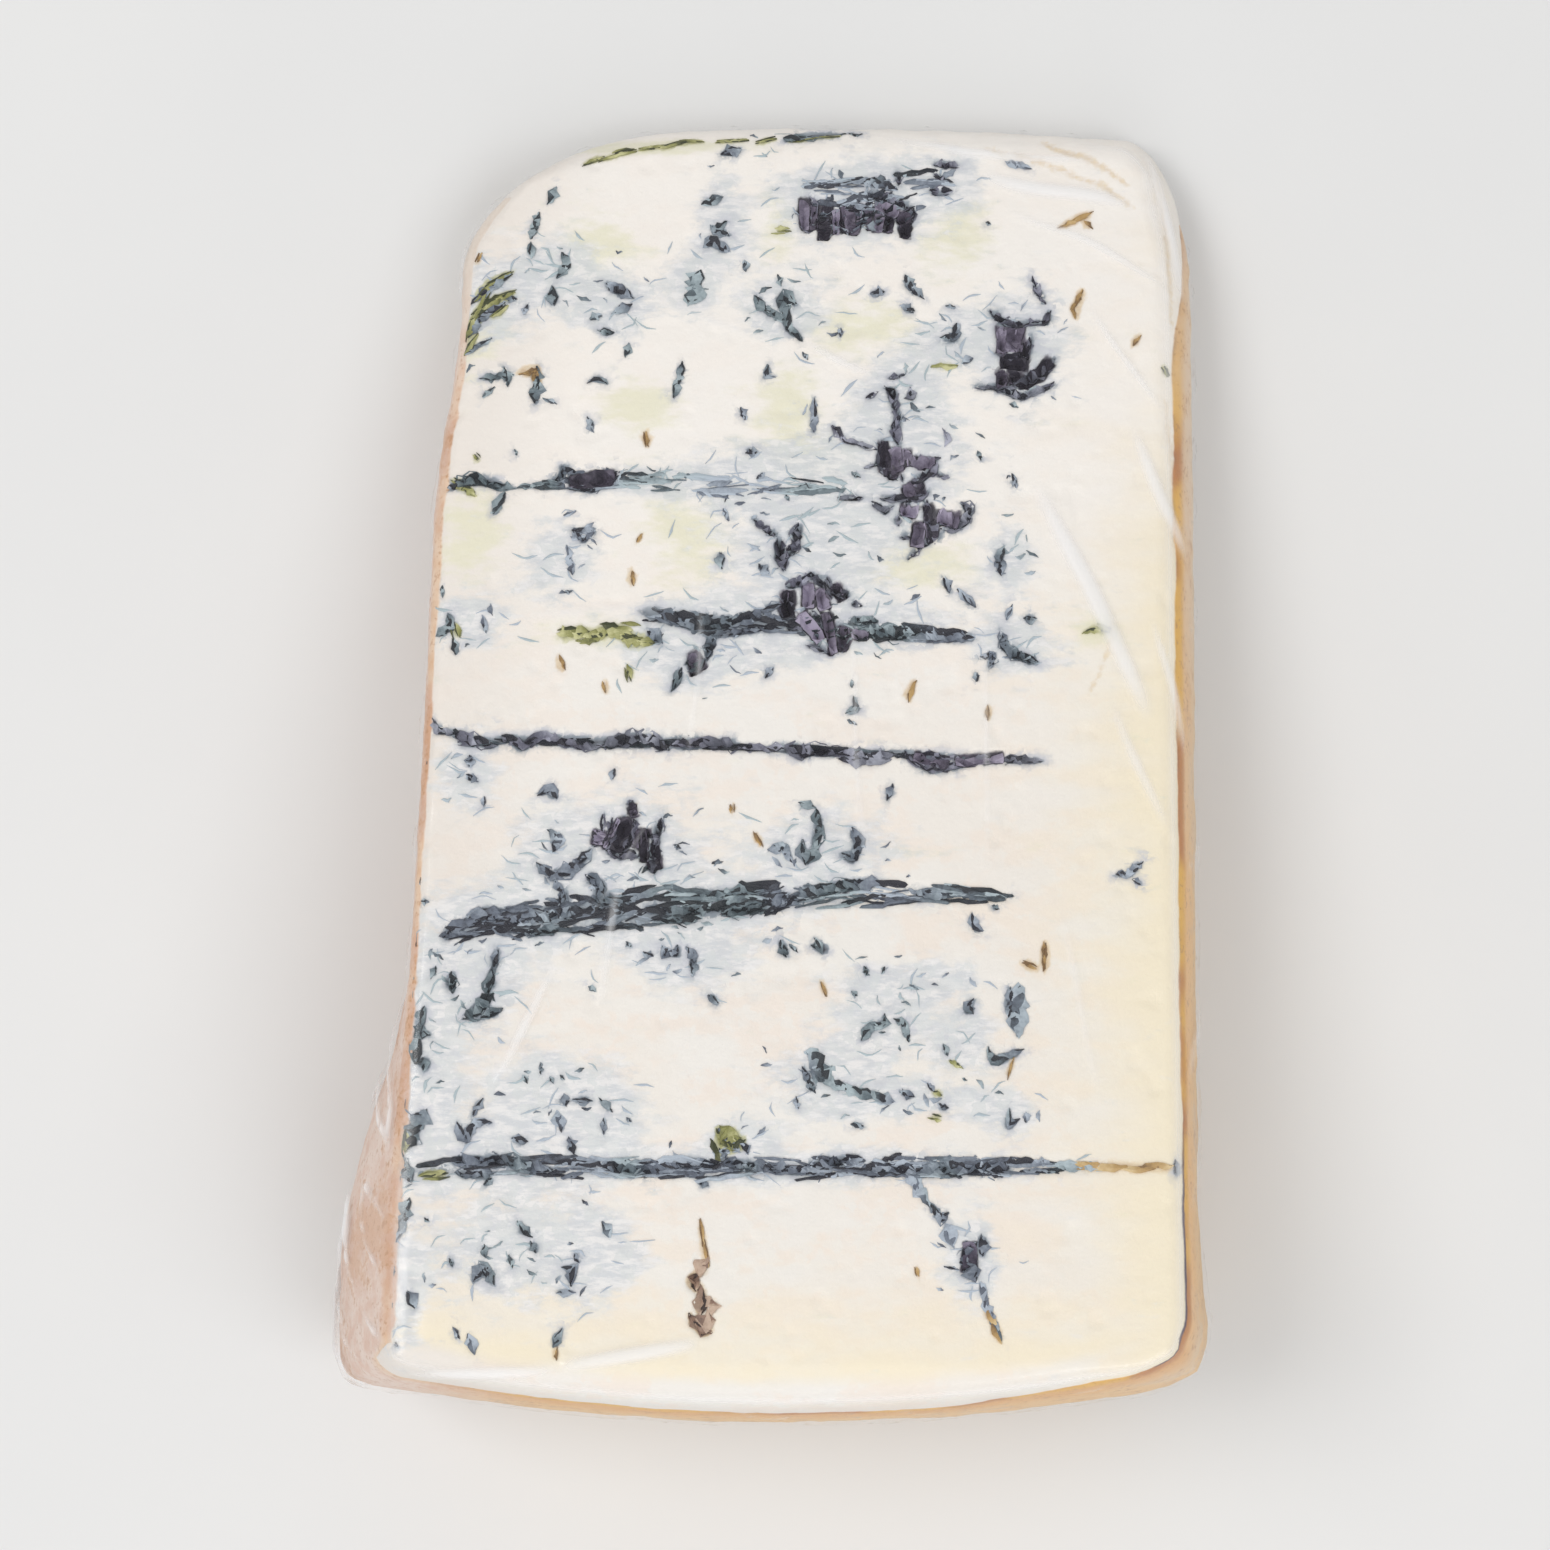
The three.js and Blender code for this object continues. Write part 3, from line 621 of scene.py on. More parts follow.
LOWER_FLECKS = [
    (0.85, [(662, 945, 3), (665, 953, 4), (677, 953, 4), (678, 945, 3)]),
    (0.7, [(643, 952, 4), (653, 956, 3)]),
    (0.6, [(627, 941, 4), (632, 946, 3)]),
    (0.85, [(686, 946, 3), (694, 957, 3), (693, 974, 3)]),
    (0.85, [(708, 995, 4), (717, 1003, 4)]),
    (0.4, [(590, 986, 5), (596, 991, 4)]),
    (0.95, [(780, 940, 4), (786, 956, 4)]),
    (0.7, [(790, 944, 3), (797, 951, 3)]),
    (0.9, [(815, 937, 3), (823, 947, 5), (812, 944, 4)]),
    (0.8, [(864, 966, 3), (866, 975, 4)]),
    (0.6, [(885, 966, 3), (882, 973, 2)]),
    (0.7, [(852, 991, 3), (857, 995, 3)]),
    (0.9, [(973, 998, 3), (968, 1009, 5), (973, 1013, 3)]),
    (0.4, [(910, 985, 3), (918, 989, 2)]),
    (0.75, [(862, 1039, 4), (872, 1026, 3), (885, 1021, 3), (884, 1013, 3)]),
    (0.75, [(894, 1018, 3), (903, 1021, 3), (909, 1041, 3)]),
    (0.6, [(879, 1032, 2), (885, 1032, 2)]),
    (0.55, [(806, 1052, 5), (818, 1056, 6), (826, 1078, 8), (812, 1072, 6)]),
    (0.85, [(818, 1063, 3), (823, 1071, 4)]),
    (0.8, [(802, 1066, 2), (815, 1092, 4)]),
    (0.6, [(822, 1080, 5), (850, 1088, 4), (880, 1095, 4), (894, 1101, 4)]),
    (0.7, [(899, 1091, 3), (913, 1096, 4)]),
    (0.8, [(938, 1104, 3), (947, 1108, 4)]),
    (0.7, [(928, 1083, 3), (934, 1091, 4)]),
    (0.6, [(943, 1044, 3), (947, 1055, 4)]),
    (0.5, [(962, 1078, 3), (966, 1080, 3)]),
    (0.7, [(1009, 1108, 2), (1009, 1124, 4), (1019, 1119, 4)]),
    (0.4, [(1025, 1112, 4), (1026, 1121, 4)]),
    (0.6, [(852, 1124, 4), (864, 1126, 4)]),
    (0.6, [(796, 1096, 2), (798, 1108, 3)]),
    (0.75, [(483, 1098, 3), (473, 1115, 3)]),
    (0.7, [(457, 1121, 3), (466, 1139, 4), (474, 1122, 3), (492, 1122, 2)]),
    (0.65, [(524, 1075, 3), (527, 1082, 3)]),
    (0.7, [(541, 1063, 3), (541, 1073, 3)]),
    (0.65, [(551, 1077, 4), (554, 1083, 2)]),
    (0.65, [(561, 1075, 3), (565, 1079, 2)]),
    (0.8, [(564, 1094, 5), (566, 1105, 4)]),
    (0.8, [(573, 1099, 3), (592, 1100, 3)]),
    (0.7, [(599, 1097, 2), (612, 1111, 3)]),
    (0.75, [(604, 1119, 4), (604, 1134, 2)]),
    (0.7, [(569, 1137, 4), (573, 1152, 6)]),
    (0.45, [(558, 1112, 6), (562, 1130, 5)]),
    (0.8, [(512, 1138, 4), (528, 1141, 4)]),
    (0.6, [(627, 1117, 4), (631, 1121, 3)]),
    (0.9, [(698, 1180, 5), (708, 1185, 4)]),
    (0.75, [(720, 1148, 4), (726, 1157, 5)]),
    (0.85, [(718, 1128, 4), (728, 1138, 6), (738, 1148, 5)]),
    (0.65, [(741, 1140, 4), (748, 1153, 4)]),
    (0.8, [(517, 1220, 3), (524, 1231, 3), (532, 1236, 3)]),
    (0.8, [(531, 1241, 3), (536, 1252, 4)]),
    (0.6, [(509, 1255, 3), (512, 1268, 3)]),
    (0.7, [(484, 1244, 3), (485, 1256, 4)]),
    (0.8, [(449, 1259, 3), (452, 1265, 3)]),
    (0.85, [(473, 1281, 3), (482, 1266, 5), (494, 1284, 4)]),
    (0.75, [(575, 1253, 4), (579, 1261, 4)]),
    (0.85, [(562, 1267, 3), (572, 1269, 4), (571, 1286, 3)]),
    (0.6, [(557, 1292, 3), (575, 1292, 3)]),
    (0.5, [(602, 1221, 3), (609, 1236, 5)]),
    (0.7, [(425, 1218, 3), (429, 1221, 3)]),
    (0.65, [(453, 1327, 3), (459, 1338, 3)]),
    (0.4, [(468, 1334, 4), (474, 1354, 4)]),
    (0.7, [(562, 1328, 2), (553, 1346, 4)]),
    (0.7, [(394, 1343, 3), (397, 1347, 3)]),
    (0.75, [(1116, 874, 3), (1130, 873, 3), (1143, 861, 2)]),
    (0.7, [(1133, 879, 3), (1141, 884, 3)]),
    (0.45, [(1018, 984, 6), (1018, 1012, 7), (1018, 1036, 5)]),
    (0.75, [(1010, 986, 3), (1008, 1016, 3)]),
    (0.85, [(988, 1046, 2), (991, 1058, 3), (1003, 1058, 4), (1023, 1049, 3)]),
]
HOLLOW_MARKS = [
    *TIP_HOLLOW, *UPRIGHT_HOLLOW, *MIDDLE_CHAIN, *FORKED_HOLLOW, *ARCHED_HOLLOW, *LEFT_HOLLOW,
]
TRACK_MARKS = [*FIRST_TRACK, *SECOND_TRACK, *FOURTH_TRACK, *FIFTH_TRACK, *BLACK_SPIKE]
FLECK_MARKS = [*HEEL_CRACK, *LEFT_EDGE, *TIP_FLECKS, *MIDDLE_FLECKS, *LOWER_FLECKS]
OCHRE_MARKS = [
    (0.7, [(1058, 228, 3), (1076, 220, 4), (1092, 213, 4)]),
    (0.9, [(1084, 221, 5), (1091, 227, 4)]),
    (0.8, [(1082, 290, 4), (1074, 308, 4), (1076, 318, 4)]),
    (0.8, [(1132, 345, 4), (1140, 335, 3)]),
    (0.9, [(518, 374, 3), (536, 370, 5), (538, 384, 5)]),
    (0.8, [(646, 431, 4), (648, 446, 4)]),
    (0.8, [(641, 534, 4), (636, 542, 4)]),
    (0.8, [(631, 570, 5), (633, 584, 4)]),
    (0.9, [(559, 656, 3), (563, 670, 5)]),
    (0.8, [(604, 680, 4), (606, 691, 3)]),
    (0.7, [(915, 680, 4), (908, 694, 4), (908, 701, 3)]),
    (0.9, [(988, 706, 4), (988, 720, 4)]),
    (0.7, [(732, 804, 4), (732, 812, 4)]),
    (0.8, [(754, 832, 4), (761, 846, 4)]),
    (0.9, [(1022, 962, 4), (1036, 968, 4)]),
    (0.9, [(1044, 942, 3), (1044, 970, 4)]),
    (0.7, [(1014, 1057, 2), (1008, 1078, 3)]),
    (0.8, [(821, 980, 3), (826, 995, 3)]),
    (0.8, [(556, 1348, 4), (556, 1359, 3)]),
    (0.7, [(700, 1218, 2), (704, 1246, 3), (708, 1266, 3)]),
    (0.6, [(916, 1268, 4), (918, 1277, 4)]),
    (0.7, [(986, 1306, 4), (1002, 1342, 4)]),
    (0.5, [(1070, 1166, 5), (1130, 1167, 5), (1175, 1167, 4)]),
    (0.7, [(476, 262, 3), (481, 254, 4)]),
]
TAN_STREAKS = [
    (0.45, [(1158, 172, 2), (1170, 240, 3), (1174, 330, 2)]),
    (0.45, [(1040, 142, 3), (1088, 158, 4), (1130, 184, 3)]),
    (0.45, [(1166, 396, 2), (1174, 470, 3), (1175, 545, 2)]),
    (0.4, [(1062, 172, 3), (1102, 184, 4), (1134, 206, 3)]),
    (0.4, [(985, 148, 3), (1040, 160, 4), (1090, 182, 3)]),
    (0.45, [(1110, 616, 2), (1112, 640, 2), (1090, 692, 2)]),
]
OLIVE_MARKS = [
    (0.9, [(512, 272, 2), (490, 284, 4), (474, 300, 4)]),
    (0.8, [(516, 292, 3), (496, 300, 5), (470, 318, 5)]),
    (0.9, [(486, 296, 4), (474, 322, 5), (464, 342, 4)]),
    (0.7, [(478, 334, 3), (462, 354, 4)]),
    (0.6, [(508, 306, 3), (492, 318, 3)]),
    (0.8, [(584, 164, 2), (604, 156, 3)]),
    (0.7, [(598, 161, 2), (622, 152, 3), (636, 150, 2)]),
    (0.6, [(638, 148, 2), (668, 144, 2)]),
    (0.8, [(660, 147, 2), (684, 141, 3), (702, 141, 2)]),
    (0.6, [(716, 141, 2), (748, 139, 2)]),
    (0.8, [(756, 142, 2), (776, 137, 3)]),
    (0.7, [(790, 140, 2), (812, 136, 2), (840, 135, 2)]),
    (0.6, [(558, 634, 7), (590, 631, 8)]),
    (0.6, [(582, 637, 7), (612, 632, 9)]),
    (0.6, [(602, 629, 8), (634, 634, 9)]),
    (0.65, [(620, 640, 8), (652, 642, 7)]),
    (0.9, [(718, 1128, 9), (730, 1142, 13), (744, 1138, 9)]),
    (0.7, [(452, 480, 4), (475, 494, 5)]),
    (0.8, [(474, 455, 4), (478, 460, 4)]),
    (0.7, [(406, 1130, 5), (404, 1150, 6)]),
    (0.7, [(418, 1176, 4), (444, 1172, 6)]),
    (0.8, [(454, 622, 4), (458, 636, 4)]),
    (0.6, [(1084, 632, 3), (1096, 628, 4), (1110, 632, 3)]),
    (0.8, [(934, 1092, 5), (941, 1094, 5)]),
    (0.8, [(932, 1116, 5), (941, 1118, 4)]),
    (0.7, [(628, 664, 4), (632, 678, 5)]),
    (0.6, [(948, 1060, 4), (960, 1067, 4)]),
    (0.8, [(1164, 366, 4), (1170, 375, 3)]),
    (0.4, [(776, 230, 4), (790, 230, 4)]),
    (0.4, [(932, 366, 4), (958, 366, 4)]),
]

# Clouds of pale blue bloom in the photograph: middle x, y, and reach along x and y in pixels
BLOOMS = [
    (860, 205, 95, 50), (835, 184, 45, 14), (885, 184, 26, 16), (945, 180, 36, 30), (720, 225, 26, 50),
    (785, 310, 50, 40), (615, 305, 38, 40),
    (760, 482, 90, 40), (890, 470, 80, 75), (800, 560, 80, 45), (820, 620, 130, 26), (640, 482, 90, 14),
    (560, 850, 45, 45), (820, 848, 75, 40), (490, 925, 70, 40), (650, 908, 150, 34), (430, 1030, 28, 70),
    (420, 1130, 38, 50), (590, 1115, 55, 42), (830, 1075, 60, 36), (895, 1098, 60, 18), (880, 1028, 40, 30),
    (970, 1255, 32, 45), (500, 1160, 90, 32), (400, 1290, 28, 60), (515, 1250, 75, 50), (1010, 648, 46, 30),
    (1020, 345, 52, 62), (640, 845, 60, 55), (905, 985, 70, 26), (490, 300, 40, 50), (555, 270, 40, 45),
    (690, 285, 26, 34), (470, 620, 40, 30), (465, 770, 34, 40), (800, 1165, 200, 18), (690, 960, 60, 34),
    (955, 335, 40, 26), (1010, 560, 26, 34), (690, 655, 50, 40), (560, 560, 40, 40), (740, 1145, 40, 26),
    (905, 400, 40, 50), (740, 640, 110, 30), (470, 990, 50, 45), (540, 1090, 60, 40), (1000, 1110, 40, 22),
    (965, 1040, 36, 28), (600, 1255, 44, 40),
]

# Clouds of pale yellow-green where the mould is young, written in the same way
YOUNG_BLOOMS = [
    (790, 400, 44, 46), (690, 525, 56, 60), (470, 535, 44, 50), (955, 235, 44, 44), (860, 325, 70, 30),
    (600, 635, 70, 16), (590, 250, 50, 40), (920, 565, 60, 34), (480, 320, 36, 60), (640, 410, 40, 30),
    (780, 225, 22, 40), (820, 455, 60, 24), (650, 145, 120, 10), (1100, 632, 24, 20),
]

# Folds of the film over the cut face: from pixel x, y to x, y, height and half width in millimetres.
# Their ridges are drawn milk-white, partly as a painted highlight
FILM_FOLDS = [
    (1035, 480, 1152, 722, 0.45, 1.2), (1128, 430, 1190, 565, 0.4, 0.9), (985, 172, 1128, 210, 0.45, 1.0),
    (1146, 150, 1186, 300, 0.4, 0.9), (1010, 205, 1180, 292, 0.3, 0.6), (880, 140, 1100, 163, 0.35, 0.6),
    (1110, 700, 1172, 830, 0.3, 0.8), (1150, 620, 1190, 760, 0.35, 0.6), (1090, 300, 1160, 420, 0.3, 0.6),
    (850, 600, 868, 900, 0.2, 0.5), (980, 600, 985, 880, 0.2, 0.5), (700, 600, 690, 760, 0.2, 0.5),
    (500, 1080, 560, 960, 0.3, 0.7), (668, 790, 590, 920, 0.15, 0.35), (600, 1010, 620, 880, 0.25, 0.6),
    (560, 1365, 700, 1343, 0.45, 0.9), (400, 1376, 560, 1368, 0.4, 0.8), (800, 345, 880, 378, 0.3, 0.7),
    (640, 300, 760, 345, 0.2, 0.8), (520, 620, 700, 600, 0.2, 0.9), (1060, 900, 1100, 1100, 0.2, 0.8),
]


# Noise

def lattice_value(i, j, k, seed):
    """A repeatable number from 0 to 1 for each whole-number corner, by mixing its digits."""
    mixed = (i * 374761393 + j * 668265263 + k * 1440662683 + seed * 1274126177) & 0xFFFFFFFF
    mixed = ((mixed ^ (mixed >> 13)) * 1274126177) & 0xFFFFFFFF
    return ((mixed ^ (mixed >> 16)) & 0xFFFFFF) / 0xFFFFFF


def noise(points, size, seed):
    """Smooth noise from -1 to 1: corner values of cubes of the given size, blended between them."""
    scaled = points / size
    corner = np.floor(scaled).astype(np.int64)
    part = scaled - corner
    blend = part ** 3 * (part * (part * 6 - 15) + 10)
    total = np.zeros(len(points))
    for di in (0, 1):
        for dj in (0, 1):
            for dk in (0, 1):
                step = np.array((di, dj, dk))
                weight = np.prod(np.where(step == 1, blend, 1 - blend), axis=1)
                total += weight * lattice_value(*(corner + step).T, seed)
    return 2 * total - 1


def fractal(points, size, octaves, seed):
    """Sum of noises, each half the size and half the strength of the one before."""
    parts = [noise(points, size / 2 ** n, seed + n) / 2 ** n for n in range(octaves)]
    return sum(parts) / (2 - 2 ** (1 - octaves))


def facets(x, y, size, seed):
    """Broken flat faces: every point takes the height and slant of the nearest of a set of scattered
    seeds, one in each square of the given size. Gives a number from about -1 to 1."""
    column = np.floor(x / size).astype(np.int64)
    row = np.floor(y / size).astype(np.int64)
    nearest = np.full(len(x), np.inf)
    value = np.zeros(len(x))
    for di in (-1, 0, 1):
        for dj in (-1, 0, 1):
            i, j = column + di, row + dj
            away_x = x / size - i - lattice_value(i, j, 1, seed)
            away_y = y / size - j - lattice_value(i, j, 2, seed)
            distance = away_x ** 2 + away_y ** 2
            slant_x = 2 * lattice_value(i, j, 3, seed) - 1
            slant_y = 2 * lattice_value(i, j, 4, seed) - 1
            slope = FACET_SLANT * (slant_x * away_x + slant_y * away_y)
            height = lattice_value(i, j, 5, seed) - 0.5 + slope
            closer = distance < nearest
            value = np.where(closer, height, value)
            nearest = np.where(closer, distance, nearest)
    return value


def ramp(value, start, end):
    """0 before start, 1 after end, and a smooth step between them."""
    share = np.clip((value - start) / (end - start), 0, 1)
    return share * share * (3 - 2 * share)


def from_least(value, least, start, end):
    """A share that rises from a least one before start to 1 after end."""
    return least + (1 - least) * ramp(value, start, end)


# Form of the wedge

def face_height(x, y):
    """Height of the cut face: a slope from heel to tip, with a low swell over its middle."""
    u = np.clip((x - FACE_MIDDLE[0]) / HALF_WIDTH, -1, 1)
    v = np.clip((y - FACE_MIDDLE[1]) / HALF_LENGTH, -1, 1)
    slope = HEEL_HEIGHT + (TIP_HEIGHT - HEEL_HEIGHT) * (v + 1) / 2
    return slope + FACE_CROWN * (1 - u * u) * (1 - v * v)


def round_corners(x, y):
    """Pulls a plain rectangle in at its corners: each corner square becomes a quarter ellipse."""
    tip = y > 0
    right = x > 0
    reach = [
        np.where(
            tip,
            np.where(right, CORNERS["tip_right"][axis], CORNERS["tip_left"][axis]),
            np.where(right, CORNERS["heel_right"][axis], CORNERS["heel_left"][axis]),
        )
        for axis in (0, 1)
    ]
    in_x = np.maximum(0, np.abs(x) - (HALF_WIDTH - reach[0])) / reach[0]
    in_y = np.maximum(0, np.abs(y) - (HALF_LENGTH - reach[1])) / reach[1]
    round_x = in_x * np.sqrt(1 - in_y ** 2 / 2)
    round_y = in_y * np.sqrt(1 - in_x ** 2 / 2)
    return x + np.sign(x) * (round_x - in_x) * reach[0], y + np.sign(y) * (round_y - in_y) * reach[1]


def side_swell(across, along, y, share):
    """How far the soft sides stand out along X and Y at a share of the height: a sine for a sagging
    foot, a parabola for a belly, and the lean of a wheel's rim at the heel."""
    sag = np.sin((1 - share) * SAG_TURN)
    belly = 4 * share * (1 - share)
    left = LEFT_BELLY * belly + LEFT_FOOT * sag * ramp(y, *LEFT_SPREAD)
    right = RIGHT_BELLY * belly + RIGHT_FOOT * sag * ramp(y, *RIGHT_SPREAD)
    heel = HEEL_LEAN * (1 - share ** 2) + HEEL_BELLY * belly
    return np.where(across > 0, right, -left) * across ** 4, np.where(along > 0, 0, -heel) * along ** 6


def wedge_form(across, along, up):
    """Carries points of a cube from -1 to 1 onto the wedge: edges rolled over a radius, outline
    rounded, tapered, skewed and bowed, sides swollen, and height set by the sloping cut face."""
    plain_x = across * HALF_WIDTH + FACE_MIDDLE[0]
    plain_y = along * HALF_LENGTH + FACE_MIDDLE[1]
    half_height = face_height(plain_x, plain_y) / 2
    radius = np.where(up > 0, FACE_EDGE_RADIUS, REST_EDGE_RADIUS)
    radius = radius + (TIP_EDGE_RADIUS - radius) * ramp(along, *TIP_EDGE_SPAN)
    over_x = np.maximum(0, np.abs(across) * HALF_WIDTH - HALF_WIDTH + radius)
    over_y = np.maximum(0, np.abs(along) * HALF_LENGTH - HALF_LENGTH + radius)
    over_z = np.maximum(0, np.abs(up) * half_height - half_height + radius)
    over_side = np.maximum(over_x, over_y)
    rolled = (over_side > 0) & (over_z > 0)
    pull = np.where(rolled, radius / np.maximum(np.hypot(over_side, over_z), 1e-9) - 1, 0)

    rolled_x = across * HALF_WIDTH + np.sign(across) * over_x * pull
    rolled_y = along * HALF_LENGTH + np.sign(along) * over_y * pull
    rolled_z = up * half_height + np.sign(up) * over_z * pull
    share = (rolled_z + half_height) / (2 * half_height)

    round_x, round_y = round_corners(rolled_x, rolled_y)
    u = round_x / HALF_WIDTH
    v = round_y / HALF_LENGTH
    bow = (1 - u * u) * (TIP_BOW * ramp(v, 0, 1) - HEEL_BOW * ramp(v, 0, -1))
    swell_x, swell_y = side_swell(across, along, round_y + FACE_MIDDLE[1], share)
    pinch = LEFT_PINCH * ramp(round_y + FACE_MIDDLE[1], *LEFT_PINCH_SPAN) * (1 - u) / 2
    x = round_x * (1 - TAPER * v) + SKEW * v + pinch + swell_x + FACE_MIDDLE[0]
    y = round_y + bow + swell_y + FACE_MIDDLE[1]
    return np.column_stack([x, y, share * face_height(x, y)])


def rim(cells_x, cells_y):
    """Cell numbers round the border of a grid, anticlockwise from its first corner."""
    ahead_x, ahead_y = np.arange(cells_x), np.arange(cells_y)
    i = np.concatenate([ahead_x, np.full(cells_y, cells_x), cells_x - ahead_x, np.zeros(cells_y, int)])
    j = np.concatenate([np.zeros(cells_x, int), ahead_y, np.full(cells_x, cells_y), cells_y - ahead_y])
    return i, j


def grid_numbers(cells_x, cells_y, first):
    """Vertex numbers of a grid of cells, as a table of columns by rows."""
    return first + np.arange((cells_x + 1) * (cells_y + 1)).reshape(cells_x + 1, cells_y + 1)


def grid_quads(numbers):
    """Four corners of every cell of a table of vertex numbers, anticlockwise."""
    corners = [numbers[:-1, :-1], numbers[1:, :-1], numbers[1:, 1:], numbers[:-1, 1:]]
    return np.stack(corners, axis=-1).reshape(-1, 4)


def cube_shell(cells_x, cells_y, levels):
    """A closed cube of cells from -1 to 1: a fine grid on top, rings of half as many points down the
    sides, and a grid of a quarter as many below. Five-sided cells join the finer rows to the coarser.
    Gives across, along and up for each vertex, and its faces."""
    top = grid_numbers(cells_x, cells_y, 0)
    ring_size = cells_x + cells_y
    rings = top.size + np.arange((levels - 1) * ring_size).reshape(levels - 1, ring_size)
    base = grid_numbers(cells_x // 4, cells_y // 4, top.size + rings.size)

    def plane(shape, height):
        i, j = np.indices(shape)
        return np.column_stack([
            2 * i.ravel() / (shape[0] - 1) - 1,
            2 * j.ravel() / (shape[1] - 1) - 1,
            np.full(i.size, height),
        ])

    i, j = rim(cells_x // 2, cells_y // 2)
    drop = 1 - 2 * np.arange(1, levels) / levels
    drop = (1 - LEVEL_CROWDING) * drop + LEVEL_CROWDING * np.sin(drop * math.pi / 2)
    side = np.column_stack([
        np.tile(4 * i / cells_x - 1, levels - 1),
        np.tile(4 * j / cells_y - 1, levels - 1),
        np.repeat(drop, ring_size),
    ])
    place = np.vstack([plane(top.shape, 1.0), side, plane(base.shape, -1.0)])

    def step_down(upper, lower):
        after = np.roll(lower, -1)
        return np.column_stack([lower, after, np.roll(upper, -2)[::2], upper[1::2], upper[::2]])

    top_rim = top[rim(cells_x, cells_y)]
    base_rim = base[rim(cells_x // 4, cells_y // 4)]
    after = np.roll(rings, -1, axis=1)
    walls = np.stack([rings[1:], after[1:], after[:-1], rings[:-1]], axis=-1).reshape(-1, 4)
    faces = [
        grid_quads(top),
        walls,
        grid_quads(base)[:, ::-1],
        step_down(top_rim, rings[0]),
        step_down(rings[-1], base_rim),
    ]
    return place.T, faces


def outward(points, faces):
    """Unit normal of every vertex: the sum of its faces' normals, each worked out round its corners."""
    total = np.zeros_like(points)
    for group in faces:
        corners = points[group]
        normal = np.cross(corners, np.roll(corners, -1, axis=1)).sum(axis=1)
        for column in group.T:
            np.add.at(total, column, normal)
    return total / np.linalg.norm(total, axis=1, keepdims=True)


# Marks on the cut face

PLAIN_SLOPE = (TIP_HEIGHT - HEEL_HEIGHT) / FACE_LENGTH
PLAIN_HEIGHT = (TIP_HEIGHT + HEEL_HEIGHT) / 2 - PLAIN_SLOPE * FACE_MIDDLE[1]
PIXEL = (CAMERA_HEIGHT - PLAIN_HEIGHT) / FOCAL_PIXELS


def on_cut_face(pixel_x, pixel_y):
    """Where the camera's ray through a pixel meets the plain slope of the cut face."""
    ray_x = (pixel_x - FRAME_PIXELS / 2) / FOCAL_PIXELS
    ray_y = (FRAME_PIXELS / 2 - pixel_y) / FOCAL_PIXELS
    y = ray_y * (CAMERA_HEIGHT - PLAIN_HEIGHT) / (1 + ray_y * PLAIN_SLOPE)
    return ray_x * (CAMERA_HEIGHT - PLAIN_HEIGHT - PLAIN_SLOPE * y), y


def line_distance(x, y, start, end):
    """Distance of each point from a straight line between two ends, and its share along the line."""
    run_x, run_y = end[0] - start[0], end[1] - start[1]
    length = max(run_x ** 2 + run_y ** 2, 1e-6)
    share = np.clip(((x - start[0]) * run_x + (y - start[1]) * run_y) / length, 0, 1)
    return np.hypot(x - start[0] - share * run_x, y - start[1] - share * run_y), share


def laid_run(run):
    """A run's points on the cut face, one row each: x, y and half width in millimetres."""
    return np.array([(*on_cut_face(pixel_x, pixel_y), PIXEL * half) for pixel_x, pixel_y, half in run])


def run_distance(x, y, path):
    """Distance from the edge of a run that narrows to a point at both ends, below zero inside it."""
    lengths = np.hypot(*np.diff(path[:, :2], axis=0).T)
    gone = 0
    nearest = np.full(len(x), np.inf)
    for start, end, length in zip(path[:-1], path[1:], lengths):
        away, share = line_distance(x, y, start, end)
        from_start = gone + share * length
        from_end = lengths.sum() - from_start
        narrowing = np.minimum(1, POINT_WIDTH + np.minimum(from_start, from_end) / POINT_LENGTH)
        nearest = np.minimum(nearest, away - (start[2] + (end[2] - start[2]) * share) * narrowing)
        gone += length
    return nearest


def facet_distance(x, y, path):
    """Distance outside a chain of facets with square ends, below zero inside it: the larger of the
    distance past either side and past either end."""
    nearest = np.full(len(x), np.inf)
    for start, end in zip(path[:-1], path[1:]):
        run = (end - start)[:2]
        length = np.hypot(*run)
        ahead = ((x - start[0]) * run[0] + (y - start[1]) * run[1]) / length
        aside = np.abs((x - start[0]) * run[1] - (y - start[1]) * run[0]) / length
        half = start[2] + (end[2] - start[2]) * np.clip(ahead / length, 0, 1)
        nearest = np.minimum(nearest, np.maximum(aside - half, np.maximum(-ahead, ahead - length)))
    return nearest


